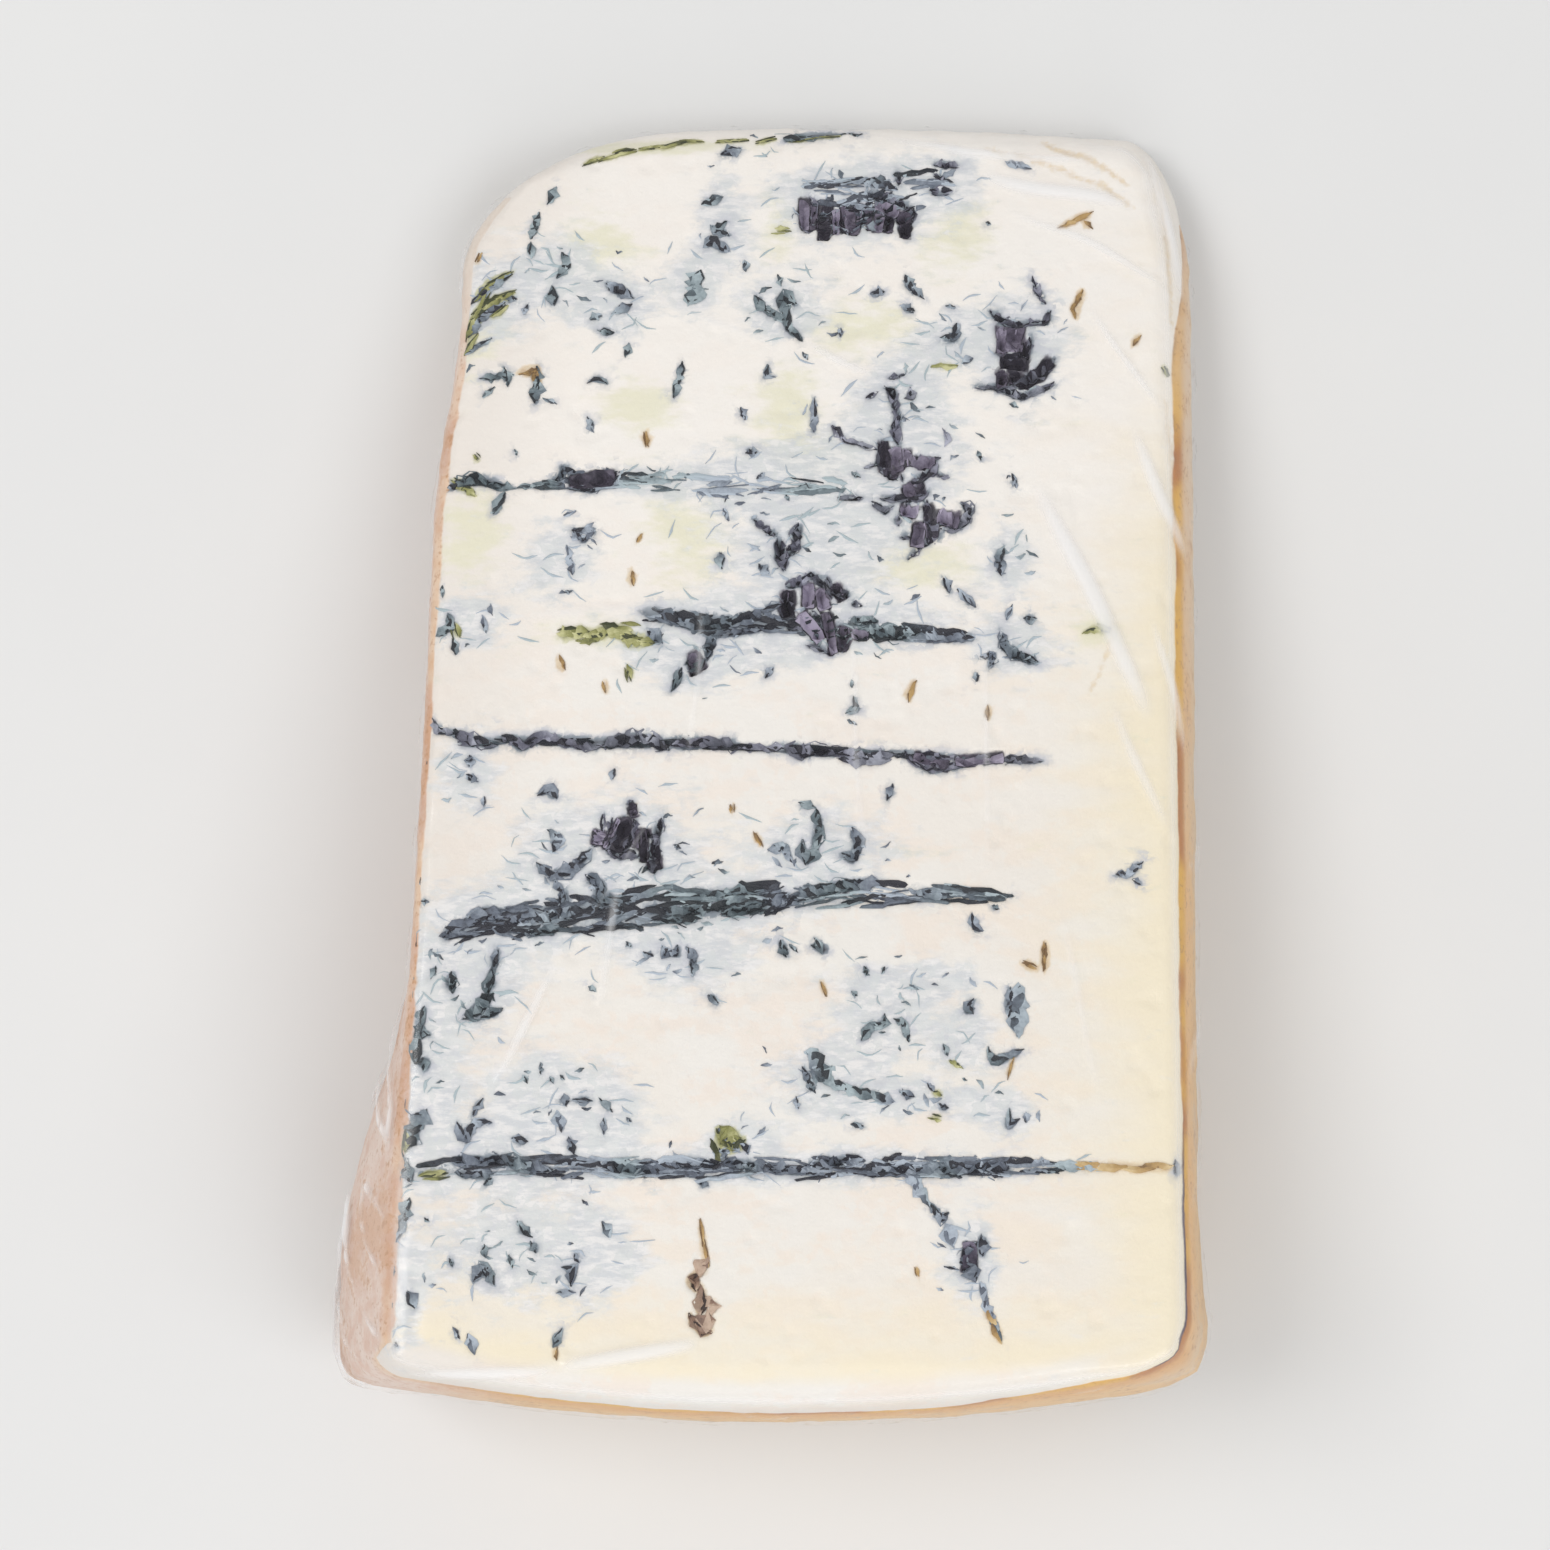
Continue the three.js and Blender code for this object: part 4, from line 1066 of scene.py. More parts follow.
def mark_fields(x, y, points, groups, seed, distance=run_distance, margin=0.0):
    """Depth, strength and surrounding bloom of marks in groups of one depth, each grown by a margin,
    over ground that is bent a little so that edges come out ragged. Strength falls off evenly across
    an edge, being half there, and bloom dies away around it."""
    depth, strength, bloom = np.zeros((3, len(x)))

    def bend(lump_seed, facet_seed):
        return EDGE_BEND * (fractal(points, EDGE_LUMP, 2, lump_seed) + facets(x, y, EDGE_FACET, facet_seed))

    bent_x = x + bend(seed, seed + 3)
    bent_y = y + bend(seed + 5, seed + 7)
    for dark, deep, run in [(dark, deep, run) for deep, marks in groups for dark, run in marks]:
        path = laid_run(run)
        low = path.min(axis=0) - MARK_REACH
        high = path.max(axis=0) + MARK_REACH
        near = np.flatnonzero((x > low[0]) & (x < high[0]) & (y > low[1]) & (y < high[1]))
        edge = distance(bent_x[near], bent_y[near], path) - margin
        fading = (BLOOM_LEAST + BLOOM_BY_DARK * dark) * np.exp(-np.maximum(edge, 0) / BLOOM_FADE)
        depth[near] = np.maximum(depth[near], deep * dark * ramp(edge, *EDGE_SLOPE))
        strength[near] = np.maximum(strength[near], dark * np.clip(0.5 - edge / EDGE_FADE, 0, 1))
        bloom[near] = np.maximum(bloom[near], fading)
    return depth, strength, bloom


def scattered_strokes(draw, count, length, width, dark):
    """Small bent strokes strewn about the bloom, mostly along x: a cloud is drawn by its area, a place
    in it from a bell curve, and the stroke goes out in two steps with a kink between them. Length,
    width and darkness are each drawn between a least and a most, the first two in pixels."""
    clouds = np.array(BLOOMS, float)
    area = clouds[:, 2] * clouds[:, 3]
    picked = clouds[draw.choice(len(clouds), count, p=area / area.sum())]
    middle = picked[:, :2] + draw.normal(0, STROKE_SPREAD, (count, 2)) * picked[:, 2:]
    turn = draw.normal(0, STROKE_TURN, count)
    kink = turn + math.pi + draw.uniform(-STROKE_KINK, STROKE_KINK, count)
    first = middle + (draw.uniform(*length, count) * np.array([np.cos(turn), np.sin(turn)])).T
    last = middle + (draw.uniform(*length, count) * np.array([np.cos(kink), np.sin(kink)])).T
    half = draw.uniform(*width, count)
    return [
        (shade, [(*start, wide), (*turning, STROKE_MIDDLE * wide), (*end, wide)])
        for shade, wide, start, turning, end in zip(draw.uniform(*dark, count), half, first, middle, last)
    ]


def bloom_clouds(x, y, clouds):
    """Soft clouds: the sum of bell-shaped humps, held to 1."""
    total = np.zeros(len(x))
    for pixel_x, pixel_y, reach_x, reach_y in clouds:
        middle_x, middle_y = on_cut_face(pixel_x, pixel_y)
        off_x = (x - middle_x) / (PIXEL * reach_x)
        off_y = (y - middle_y) / (PIXEL * reach_y)
        total += np.exp(-off_x ** 2 - off_y ** 2)
    return np.minimum(total, 1)


# Pieces

def make_piece(name, points, faces, finish, fields=None, smooth=True):
    """A mesh from points in millimetres, with one number per vertex for each named field."""
    mesh = bpy.data.meshes.new(name)
    mesh.from_pydata((points * MM).tolist(), [], [face for group in faces for face in group.tolist()])
    for field, values in (fields or {}).items():
        attribute = mesh.attributes.new(field, "FLOAT", "POINT")
        attribute.data.foreach_set("value", np.asarray(values, np.float32))
    mesh.polygons.foreach_set("use_smooth", np.full(len(mesh.polygons), smooth))
    mesh.materials.append(finish)
    mesh.update()
    piece = bpy.data.objects.new(name, mesh)
    bpy.context.scene.collection.objects.link(piece)
    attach(piece, "root")
    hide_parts(NODE)
    return piece


def face_relief(x, y, points):
    """How far the cut face lies under the plain form, and the fields that colour it: marks sunk by
    their depth over broken facets, with crumbs and pits between them."""
    groups = [
        (TRACK_DEPTH, TRACK_BANDS + TRACK_MARKS + THIRD_TRACK),
        (HOLLOW_DEPTH, HOLLOW_MARKS),
        (FLECK_DEPTH, FLECK_MARKS),
    ]
    hollows = [(HOLLOW_DEPTH, [(1.0, run) for _, run in HOLLOW_FACETS])]
    dried = [(SPOT_DEPTH, OCHRE_MARKS + TAN_STREAKS), (TRACK_DEPTH, HEEL_FISSURE)]
    young = [(SPOT_DEPTH, OLIVE_MARKS)]
    slate_depth, mould, bloom = mark_fields(x, y, points, groups, SEEDS["slate"])
    hollow_depth, hollow, _ = mark_fields(
        x, y, points, hollows, SEEDS["hollow"], facet_distance, HOLLOW_MARGIN
    )
    ochre_depth, ochre, _ = mark_fields(x, y, points, dried, SEEDS["dried"])
    _, olive, _ = mark_fields(x, y, points, young, SEEDS["olive"])
    shift = BROKEN_SHIFT * noise(points, BROKEN_SHIFT_LUMP, SEEDS["shift"])
    broken = facets(x + shift, y, BROKEN_FACET, SEEDS["broken"])
    dark_depth = np.maximum(slate_depth, hollow_depth) * (1 + BROKEN_SHARE * broken)
    depth = np.maximum(dark_depth, ochre_depth)
    crumb = 1 + CRUMB_LUMP_SHARE * fractal(points, CRUMB_LUMP, 3, SEEDS["crumb"])
    crumb = crumb + CRUMB_GRAIN_SHARE * noise(points, CRUMB_GRAIN, SEEDS["crumb_grain"])
    pits = ramp(fractal(points, PIT_LUMP, 2, SEEDS["pits"]), *PIT_SPAN)
    fields = {
        "mould": mould,
        "hollow": hollow,
        "bloom": bloom,
        "clouds": bloom_clouds(x, y, BLOOMS),
        "young": bloom_clouds(x, y, YOUNG_BLOOMS),
        "broken": 0.5 + 0.5 * np.clip(broken, -1, 1),
        "olive": olive,
        "ochre": ochre,
    }
    return np.maximum(CRUMB_DEPTH * crumb + PIT_DEPTH * pits + depth, 0), fields


def cheese_surface():
    """Points, faces and fields of the cheese: the wedge with its marks sunk in, small crumbs and pits
    on the cut face and a rough rind on the other sides. Relief goes inward only, under the film. The
    rind starts where the surface is a roll's depth below the cut face."""
    (across, along, up), faces = cube_shell(*CHEESE_CELLS)
    points = wedge_form(across, along, up)
    normal = outward(points, faces)
    x, y, z = points.T
    on_face = ramp(normal[:, 2], *FACE_TURN)
    on_base = ramp(normal[:, 2], *BASE_TURN)
    at_tip = ramp(along, *TIP_TURN)
    at_heel = ramp(-along, *HEEL_TURN)
    below_face = face_height(x, y) - z + RIM_WAVE * noise(points, RIM_WAVE_LUMP, SEEDS["rim_wave"])
    below_face = below_face + RIM_GRAIN * noise(points, RIM_GRAIN_LUMP, SEEDS["rim_grain"])
    heel_roll = (HEEL_ROLL - HEEL_ROLL_LESS * ramp(across, *HEEL_ROLL_SPAN)) * at_heel
    tip_roll = TIP_ROLL_RIGHT * ramp(along, *TIP_ROLL_RIGHT_SPAN) * (across > 0)
    tip_roll = tip_roll + TIP_ROLL * ramp(along, *TIP_ROLL_SPAN)
    under = below_face - heel_roll - tip_roll - RIGHT_ROLL * ramp(across, *RIGHT_ROLL_SPAN)

    face_sunk, fields = face_relief(x, y, points)
    rough_rind = 1 + fractal(points, RIND_LUMP, 3, SEEDS["rind"])
    rough_rind = rough_rind + RIND_GRAIN_SHARE * fractal(points, RIND_GRAIN, 2, SEEDS["rind_grain"])
    side_sunk = RIND_DEPTH * np.maximum(rough_rind, 0) * (1 - on_base)
    points = points - normal * (on_face * face_sunk + (1 - on_face) * side_sunk)[:, None]
    points[:, 2] = np.maximum(points[:, 2], 0)

    shown = np.maximum(on_face, at_tip)
    # Butter by the heel, faded out on the rolled edge as a painted highlight
    heel_side = np.exp(-(1 + along) * HALF_LENGTH / BUTTER_FROM_HEEL) * ramp(along, *HEEL_PAINTED_HIGHLIGHT_SPAN)
    right_side = np.exp(-(1 - across) * HALF_WIDTH / BUTTER_FROM_RIGHT)
    right_side = right_side * from_least(y, BUTTER_RIGHT_LEAST, *BUTTER_RIGHT_SPAN)
    fields = {name: values * shown for name, values in fields.items()}
    fields.update({
        "rind": (1 - at_tip) * (1 - on_base),
        "under": np.clip(under / UNDER_SCALE, -1, 1),
        "heelward": ramp(y, *HEELWARD_SPAN),
        "butter": np.maximum(heel_side, right_side),
        # Painted light: how much the tip's left edge is lifted to pale cream
        "tip_edge_painted_light": LIGHT_PAINTED_EDGE * ramp(along, *LIGHT_PAINTED_EDGE_TIP) * ramp(-across, *LIGHT_PAINTED_EDGE_LEFT),
        # Painted shade: share of the dark gap line low on the right
        "gap_shade": ramp(across, *GAP_SHADE_RIGHT) * from_least(y, GAP_SHADE_LEAST, *GAP_SHADE_SPAN),
        "blush": ramp(-across, *BLUSH_LEFT),
        "lined": from_least(y, LINED_LEAST, *LINED_SPAN),
        "below": on_base,
        "at_heel": at_heel,
    })
    return points, faces, fields


def on_form(x, y):
    """Points and normals of the plain form's top above places on the table. The top is a function of
    across and along, so those are corrected step by step until it comes out at the place. The normal is
    the cross product of short runs over the top."""
    across = (x - FACE_MIDDLE[0]) / HALF_WIDTH
    along = (y - FACE_MIDDLE[1]) / HALF_LENGTH
    top = np.ones(len(x))
    for _ in range(PLACE_ROUNDS):
        found = wedge_form(across, along, top)
        across = np.clip(across + (x - found[:, 0]) / HALF_WIDTH, -1, 1)
        along = np.clip(along + (y - found[:, 1]) / HALF_LENGTH, -1, 1)

    def run(step_x, step_y):
        ahead = wedge_form(np.minimum(across + step_x, 1), np.minimum(along + step_y, 1), top)
        behind = wedge_form(np.maximum(across - step_x, -1), np.maximum(along - step_y, -1), top)
        return ahead - behind

    normal = np.cross(run(NORMAL_STEP, 0), run(0, NORMAL_STEP))
    return wedge_form(across, along, top), normal / np.linalg.norm(normal, axis=1, keepdims=True)


def length_gone(path):
    """Length along a run up to each of its points."""
    return np.concatenate([[0], np.cumsum(np.hypot(*np.diff(path[:, :2], axis=0).T))])


def run_slivers(marks, draw, layers):
    """Middle lines of the slivers that fill a set of marks. A run is cut into lengths that overlap, and
    each length gets one sliver per layer: its width and shade as shares of the mark's own, and how far
    aside it may lie. Gives x, y, half width, shade and bluntness at each station."""
    share = np.linspace(-SLIVER_OVERLAP, 1 + SLIVER_OVERLAP, STATIONS)
    rows = []
    for dark, run in marks:
        path = laid_run(run)
        gone = length_gone(path)
        pieces = math.ceil(gone[-1] / SLIVER_LENGTH)
        at = np.clip(gone[-1] * (np.arange(pieces)[:, None] + share) / pieces, 0, gone[-1])
        x, y, half = (np.interp(at, gone, column) for column in path.T)
        narrowing = np.minimum(1, POINT_WIDTH + np.minimum(at, gone[-1] - at) / POINT_LENGTH)
        for width, shade, aside in layers:
            lean = draw.uniform(-SHADE_LEAN, SHADE_LEAN, (pieces, 1)) * np.linspace(-1, 1, STATIONS)
            off = draw.uniform(-aside, aside, (2, pieces, 1)) * half
            rows.append((x + off[0], y + off[1], width * half * narrowing, shade * dark + lean, 0 * x))
    return [np.concatenate(column) for column in zip(*rows)]


def facet_slivers(draw):
    """Middle lines of the broad blunt facets that line the hollows, and of fine creases along them:
    darker lines, and paler ones that are painted highlights.
    """
    share = np.linspace(0, 1, STATIONS)
    rows = []
    for dark, run in HOLLOW_FACETS:
        path = laid_run(run)
        gone = length_gone(path)
        x, y, half = (np.interp(gone[-1] * share, gone, column) for column in path.T)
        lean = draw.uniform(-FACET_LEAN, FACET_LEAN) * np.linspace(-1, 1, STATIONS)
        shade = FACET_CONTRAST * dark - FACET_PALER + lean
        rows.append((x, y, FACET_WIDTH * half, shade, np.ones(STATIONS)))
        slope = math.atan2(path[-1, 1] - path[0, 1], path[-1, 0] - path[0, 0])
        for _ in range(CREASES_PER_FACET):
            side = draw.uniform(-CREASE_ASIDE, CREASE_ASIDE) * half
            thin = np.full(STATIONS, draw.uniform(*CREASE_WIDTH))
            # Paler creases are painted highlights along the facets; darker ones are dark lines
            tone = np.full(STATIONS, dark + draw.choice(CREASE_DARK_AND_HIGHLIGHT_TONES))
            crease_x = x - math.sin(slope) * side
            crease_y = y + math.cos(slope) * side
            rows.append((crease_x, crease_y, thin, tone, np.zeros(STATIONS)))
    return [np.array(column) for column in zip(*rows)]


def track_strands(draw):
    """Middle lines of the fine strands along each needle track: a start is drawn along its band, then
    a place across it, a length, a width and a shade about the band's own."""
    share = np.linspace(0, 1, STATIONS)
    rows = []
    for dark, band in TRACK_BANDS:
        path = laid_run(band)
        gone = length_gone(path)
        count = int(STRANDS_PER_MM2 * gone[-1] * 2 * path[:, 2].mean())
        length = draw.uniform(*STRAND_LENGTH, (count, 1))
        begin = draw.uniform(0, 1, (count, 1)) * (gone[-1] - length)
        x, y, half = (np.interp(begin + length * share, gone, column) for column in path.T)
        side = draw.uniform(-1, 1, (count, 1))
        side = side + draw.uniform(-STRAND_SLANT, STRAND_SLANT, (count, 1)) * (share - 0.5)
        width = draw.uniform(*STRAND_WIDTH, (count, 1)) * np.minimum(1, half / STRAND_FULL_WIDTH)
        tone = draw.choice(STRAND_TONES, (count, 1)) + draw.normal(0, STRAND_TONE_SPREAD, (count, 1))
        shade = dark + tone + 0 * share
        rows.append((x, y + side * half, width, shade, 0 * shade))
    return [np.concatenate(column) for column in zip(*rows)]


def sliver_points(x, y, half, blunt, draw):
    """Places of every sliver's vertices on the table and their heights over the cut face. Round each
    station stand a left edge, a ridge, a right edge and a keel, all set aside by chance, and a point
    closes either end."""
    run = np.stack([np.gradient(x, axis=1), np.gradient(y, axis=1)])
    run = run / np.maximum(np.hypot(*run), 1e-6)
    swelling = np.sin(math.pi * np.linspace(0.06, 0.94, STATIONS)) ** SLIVER_FULLNESS
    taper = SLIVER_END_WIDTH + (1 - SLIVER_END_WIDTH) * swelling
    half = half * (taper + (1 - taper) * blunt)
    drift = half * draw.uniform(-SLIVER_DRIFT, SLIVER_DRIFT, half.shape) * (1 - BLUNT_DRIFT_LESS * blunt)
    evening = 1 - BLUNT_SIDE_LESS * blunt
    left = drift + half * draw.uniform(*SLIVER_SIDE, half.shape) ** evening
    right = drift - half * draw.uniform(*SLIVER_SIDE, half.shape) ** evening
    ridge = drift + half * draw.uniform(-RIDGE_ASIDE, RIDGE_ASIDE, half.shape)
    aside = np.stack([left, ridge, right, drift], axis=2)
    ring_x = x[:, :, None] - run[1][:, :, None] * aside
    ring_y = y[:, :, None] + run[0][:, :, None] * aside
    tall = np.minimum(SLIVER_RIDGE, RIDGE_SHARE * half)
    low = np.full_like(half, SLIVER_LIFT)
    ring_z = np.stack([low, low + tall, low, low - SLIVER_KEEL], axis=2)

    def with_points(ring, first, last):
        return np.concatenate([first[:, None], ring.reshape(len(ring), -1), last[:, None]], axis=1)

    step = half[:, [0, -1]] * (SLIVER_POINT - BLUNT_POINT_LESS * blunt[:, [0, -1]])
    return (
        with_points(ring_x, x[:, 0] - run[0][:, 0] * step[:, 0], x[:, -1] + run[0][:, -1] * step[:, 1]),
        with_points(ring_y, y[:, 0] - run[1][:, 0] * step[:, 0], y[:, -1] + run[1][:, -1] * step[:, 1]),
        with_points(ring_z, np.zeros(len(x)), np.zeros(len(x))),
    )


def sliver_faces(count):
    """Faces of closed slivers whose vertices come point, rings of four, point."""
    size = 4 * STATIONS + 2
    ring = 1 + np.arange(4 * STATIONS).reshape(STATIONS, 4)
    turned = np.roll(ring, -1, axis=1)
    walls = np.stack([ring[:-1], turned[:-1], turned[1:], ring[1:]], axis=-1).reshape(-1, 4)
    back = np.column_stack([np.zeros(4, int), turned[0], ring[0]])
    front = np.column_stack([np.full(4, size - 1), ring[-1], turned[-1]])
    first = size * np.arange(count)[:, None, None]
    return [(walls + first).reshape(-1, 4), (np.concatenate([back, front]) + first).reshape(-1, 3)]


def mould_surface():
    """Points, faces and fields of the mould: slivers laid on the cut face, a hair higher one after the
    other so that dark cores show on their paler beds. Each layer has a tint and how much of it."""
    draw = np.random.default_rng(MOULD_SEED)
    slate_marks = TRACK_MARKS + FLECK_MARKS
    plum_marks = THIRD_TRACK + HOLLOW_MARKS
    smears = scattered_strokes(draw, *SMEARS)
    flecks = scattered_strokes(draw, *FLECKS)
    layers = [
        ("slate", 1.0, run_slivers(smears, draw, [PLAIN])),
        ("slate", 1.0, run_slivers(flecks, draw, [PLAIN])),
        ("slate", 1.0, run_slivers(slate_marks, draw, [BED])),
        ("violet", 0.5, run_slivers(plum_marks, draw, [BED])),
        ("slate", 1.0, track_strands(draw)),
        ("violet", 1.0, facet_slivers(draw)),
        ("slate", 1.0, run_slivers(slate_marks, draw, [CORE])),
        ("violet", 0.5, run_slivers(plum_marks, draw, [CORE])),
        ("olive", 1.0, run_slivers(OLIVE_MARKS, draw, [OLIVE_BED])),
        ("ochre", 1.0, run_slivers(OCHRE_MARKS, draw, OCHRE_GRAINS)),
        ("olive", 1.0, run_slivers(OLIVE_MARKS, draw, OLIVE_GRAINS)),
        ("brown", 1.0, run_slivers(HEEL_FISSURE, draw, [BED, CORE])),
    ]
    columns = zip(*[lines for _, _, lines in layers])
    x, y, half, shade, blunt = (np.concatenate(column) for column in columns)
    place_x, place_y, height = sliver_points(x, y, half, blunt, draw)
    height = height + np.linspace(0, CORE_RISE, len(x))[:, None]
    points, normal = on_form(place_x.ravel(), place_y.ravel())
    sunk, _ = face_relief(points[:, 0], points[:, 1], points)
    points = points + normal * (height.ravel() - sunk)[:, None]

    def for_vertices(stations):
        parts = stations[:, [0]], np.repeat(stations, 4, axis=1), stations[:, [-1]]
        return np.concatenate(parts, axis=1).ravel()

    fields = {"shade": for_vertices(shade)}
    for name in MOULD_TONES:
        shares = [np.full_like(lines[0], share * (tint == name)) for tint, share, lines in layers]
        fields[name] = for_vertices(np.concatenate(shares))
    return points, sliver_faces(len(x)), fields


def film_surface():
    """Points, faces and folds of the film: the wedge a little larger, with low ridges of a bell-shaped
    section along its folds and under the edges of the cut face, soft waves between them, and slanting
    pleats down the sides, which follow the places where a stretched noise passes zero."""
    (across, along, up), faces = cube_shell(*FILM_CELLS)
    points = wedge_form(across, along, up)
    normal = outward(points, faces)
    x, y, z = points.T
    on_face = ramp(normal[:, 2], *FILM_FACE_TURN)
    on_base = ramp(normal[:, 2], *BASE_TURN)
    bend = FOLD_BEND * noise(points, FOLD_BEND_LUMP, SEEDS["folds"])
    ridge = np.zeros(len(x))
    for x0, y0, x1, y1, height, wide in FILM_FOLDS:
        away, share = line_distance(x + bend, y + bend, on_cut_face(x0, y0), on_cut_face(x1, y1))
        ridge = np.maximum(ridge, height * np.sqrt(4 * share * (1 - share)) * np.exp(-(away / wide) ** 2))
    lip = np.exp(-((face_height(x, y) - z - LIP_DROP) / LIP_WIDTH) ** 2)
    foot = ramp(-across, *FOOT_LEFT) * ramp(y, *FOOT_SPAN)
    lip = lip * np.maximum(np.maximum(ramp(across, *LIP_RIGHT), ramp(-along, *LIP_HEEL)), foot)
    ridge = np.maximum(ridge, LIP_HEIGHT * lip)
    stretched = np.column_stack([x + PLEAT_SLANT[0] * z, y + PLEAT_SLANT[1] * z, z / PLEAT_STRETCH])
    pleat = (1 - np.abs(noise(stretched, PLEAT_LUMP, SEEDS["pleats"]))) ** PLEAT_SHARPNESS
    pleat = pleat * (PLEAT_HEIGHT + PLEAT_HEIGHT_AT_FOOT * foot)
    ridge = ridge * on_face + pleat * (1 - on_face) * (1 - on_base)
    waves = WAVE_HEIGHT * noise(points, WAVE_LUMP, SEEDS["waves"])
    waves = waves + RIPPLE_HEIGHT * noise(points, RIPPLE_LUMP, SEEDS["ripples"])
    points = points + normal * (FILM_GAP + waves + ridge)[:, None]
    points[:, 2] = np.maximum(points[:, 2], 0)
    return points, faces, {"fold": ridge}


# Finishes

NOISE_START = (31.7, 47.3, 12.9)
SHARD_JOLT = (2, 2, 2)


class Wire:
    """A socket that takes part in plain arithmetic: every operator adds one Math node."""

    def __init__(self, finish, socket):
        self.finish = finish
        self.socket = socket

    def math(self, operation, first, second):
        return self.finish.node("ShaderNodeMath", {"operation": operation}, {0: first, 1: second})

    def __add__(self, other):
        return self.math("ADD", self, other)

    def __radd__(self, other):
        return self.math("ADD", other, self)

    def __sub__(self, other):
        return self.math("SUBTRACT", self, other)

    def __rsub__(self, other):
        return self.math("SUBTRACT", other, self)

    def __mul__(self, other):
        return self.math("MULTIPLY", self, other)

    def __rmul__(self, other):
        return self.math("MULTIPLY", other, self)

    def __abs__(self):
        return self.finish.node("ShaderNodeMath", {"operation": "ABSOLUTE"}, {0: self})


class Finish:
    """A material and the nodes that make it up."""

    def __init__(self, name):
        self.material = bpy.data.materials.new(name)
        self.material.use_nodes = True
        self.tree = self.material.node_tree
        self.tree.nodes.clear()

    def node(self, kind, settings=None, sockets=None, out=0):
        """Adds a node: its settings first, then each socket's value or link. Gives one output."""
        made = self.tree.nodes.new(kind)
        for name, value in (settings or {}).items():
            setattr(made, name, value)
        for name, value in (sockets or {}).items():
            if isinstance(value, Wire):
                self.tree.links.new(value.socket, made.inputs[name])
            else:
                made.inputs[name].default_value = value
        return Wire(self, made.outputs[out]) if len(made.outputs) else None

    def field(self, name):
        """One of the mesh's own numbers."""
        return self.node("ShaderNodeAttribute", {"attribute_name": name}, out="Fac")

    def millimetres(self, stretch=(1, 1, 1)):
        """Place on the object in millimetres, drawn out along each axis by a stretch and counted from a
        start off the middle, where the noise would show its lattice."""
        place = self.node("ShaderNodeTexCoord", out="Object")
        scale = [1 / (MM * part) for part in stretch]
        sockets = {0: place, 1: scale, 2: NOISE_START}
        return self.node("ShaderNodeVectorMath", {"operation": "MULTIPLY_ADD"}, sockets)

    def speckle(self, place, size, detail=3.0, roughness=0.55):
        """Noise from 0 to 1 with lumps of about the given size in millimetres."""
        sockets = {"Vector": place, "Scale": 1 / size, "Detail": detail, "Roughness": roughness}
        return self.node("ShaderNodeTexNoise", {}, sockets, out="Fac")

    def shards(self, place, size):
        """Two numbers from 0 to 1 that are even over each many-sided cell of about the given size."""
        cells = self.node("ShaderNodeTexVoronoi", {}, {"Vector": place, "Scale": 1 / size}, out="Color")
        return self.part(cells, "Red"), self.part(cells, "Green")

    def part(self, tint, name):
        """One part of a colour."""
        return self.node("ShaderNodeSeparateColor", {}, {"Color": tint}, out=name)

    def step(self, value, start, end):
        """0 below start, 1 above end, and a smooth step between."""
        settings = {"interpolation_type": "SMOOTHSTEP"}
        return self.node("ShaderNodeMapRange", settings, {"Value": value, "From Min": start, "From Max": end})

    def blend(self, share, under, over):
        """One colour passing into another."""
        sockets = {0: share, 6: under, 7: over}
        return self.node("ShaderNodeMix", {"data_type": "RGBA"}, sockets, out=2)

    def bump(self, height, distance, strength):
        """Fine relief for the Normal socket; distance in millimetres."""
        sockets = {"Height": height, "Distance": distance * MM, "Strength": strength}
        return self.node("ShaderNodeBump", {}, sockets)

    def surface(self, shader):
        """Closes the material with its output and gives it."""
        self.node("ShaderNodeOutputMaterial", {}, {"Surface": shader})
        return self.material


def colour(red, green, blue):
    """A screen colour of 0 to 255 as the renderer's own light values."""
    parts = [c / 255 for c in (red, green, blue)]
    return [c / 12.92 if c <= 0.04045 else ((c + 0.055) / 1.055) ** 2.4 for c in parts] + [1.0]


# Colours of the paste and its bloom
CREAM = colour(237, 233, 227)
WARM_CREAM = colour(237, 231, 223)
PEACH = colour(239, 226, 214)
TIP_CREAM = colour(247, 242, 236)
LEFT_CREAM = colour(228, 219, 210)
BUTTER = colour(242, 231, 206)
YOUNG_GREEN = colour(229, 226, 197)
VEIL_BLUE = colour(205, 209, 214)
VEIL_WHITE = colour(233, 232, 232)
VEIL_TEAL = colour(209, 214, 215)
HAZE_BLUE = colour(160, 168, 175)
HAZE_PALE = colour(196, 198, 206)

# Colours of the marks in the paste
WASH_PALE = colour(140, 150, 160)
WASH_DARK = colour(78, 84, 95)
HOLLOW_DARK = colour(54, 50, 62)
HOLLOW_PALE = colour(108, 100, 116)
OLIVE_DARK = colour(164, 164, 110)
OLIVE_PALE = colour(206, 204, 158)
TAN_DARK = colour(206, 174, 126)
TAN_PALE = colour(226, 204, 166)
UNDERSIDE_SLATE = colour(72, 78, 90)

# Colours of the rind
TIP_RIND = colour(226, 206, 184)
HEEL_RIND = colour(231, 193, 142)
RIND_MOTTLE = colour(214, 172, 122)
RIND_DUST = colour(222, 206, 186)
RIND_SPECK = colour(184, 134, 92)
UPPER_GOLD = colour(238, 184, 110)
UPPER_TAN = colour(212, 156, 96)
PINK_RIND = colour(221, 186, 166)
PINK_PALE = colour(232, 211, 198)
PINK_TAN = colour(214, 168, 132)
LINE_GOLD = colour(230, 180, 84)
LINE_RUST = colour(190, 124, 68)
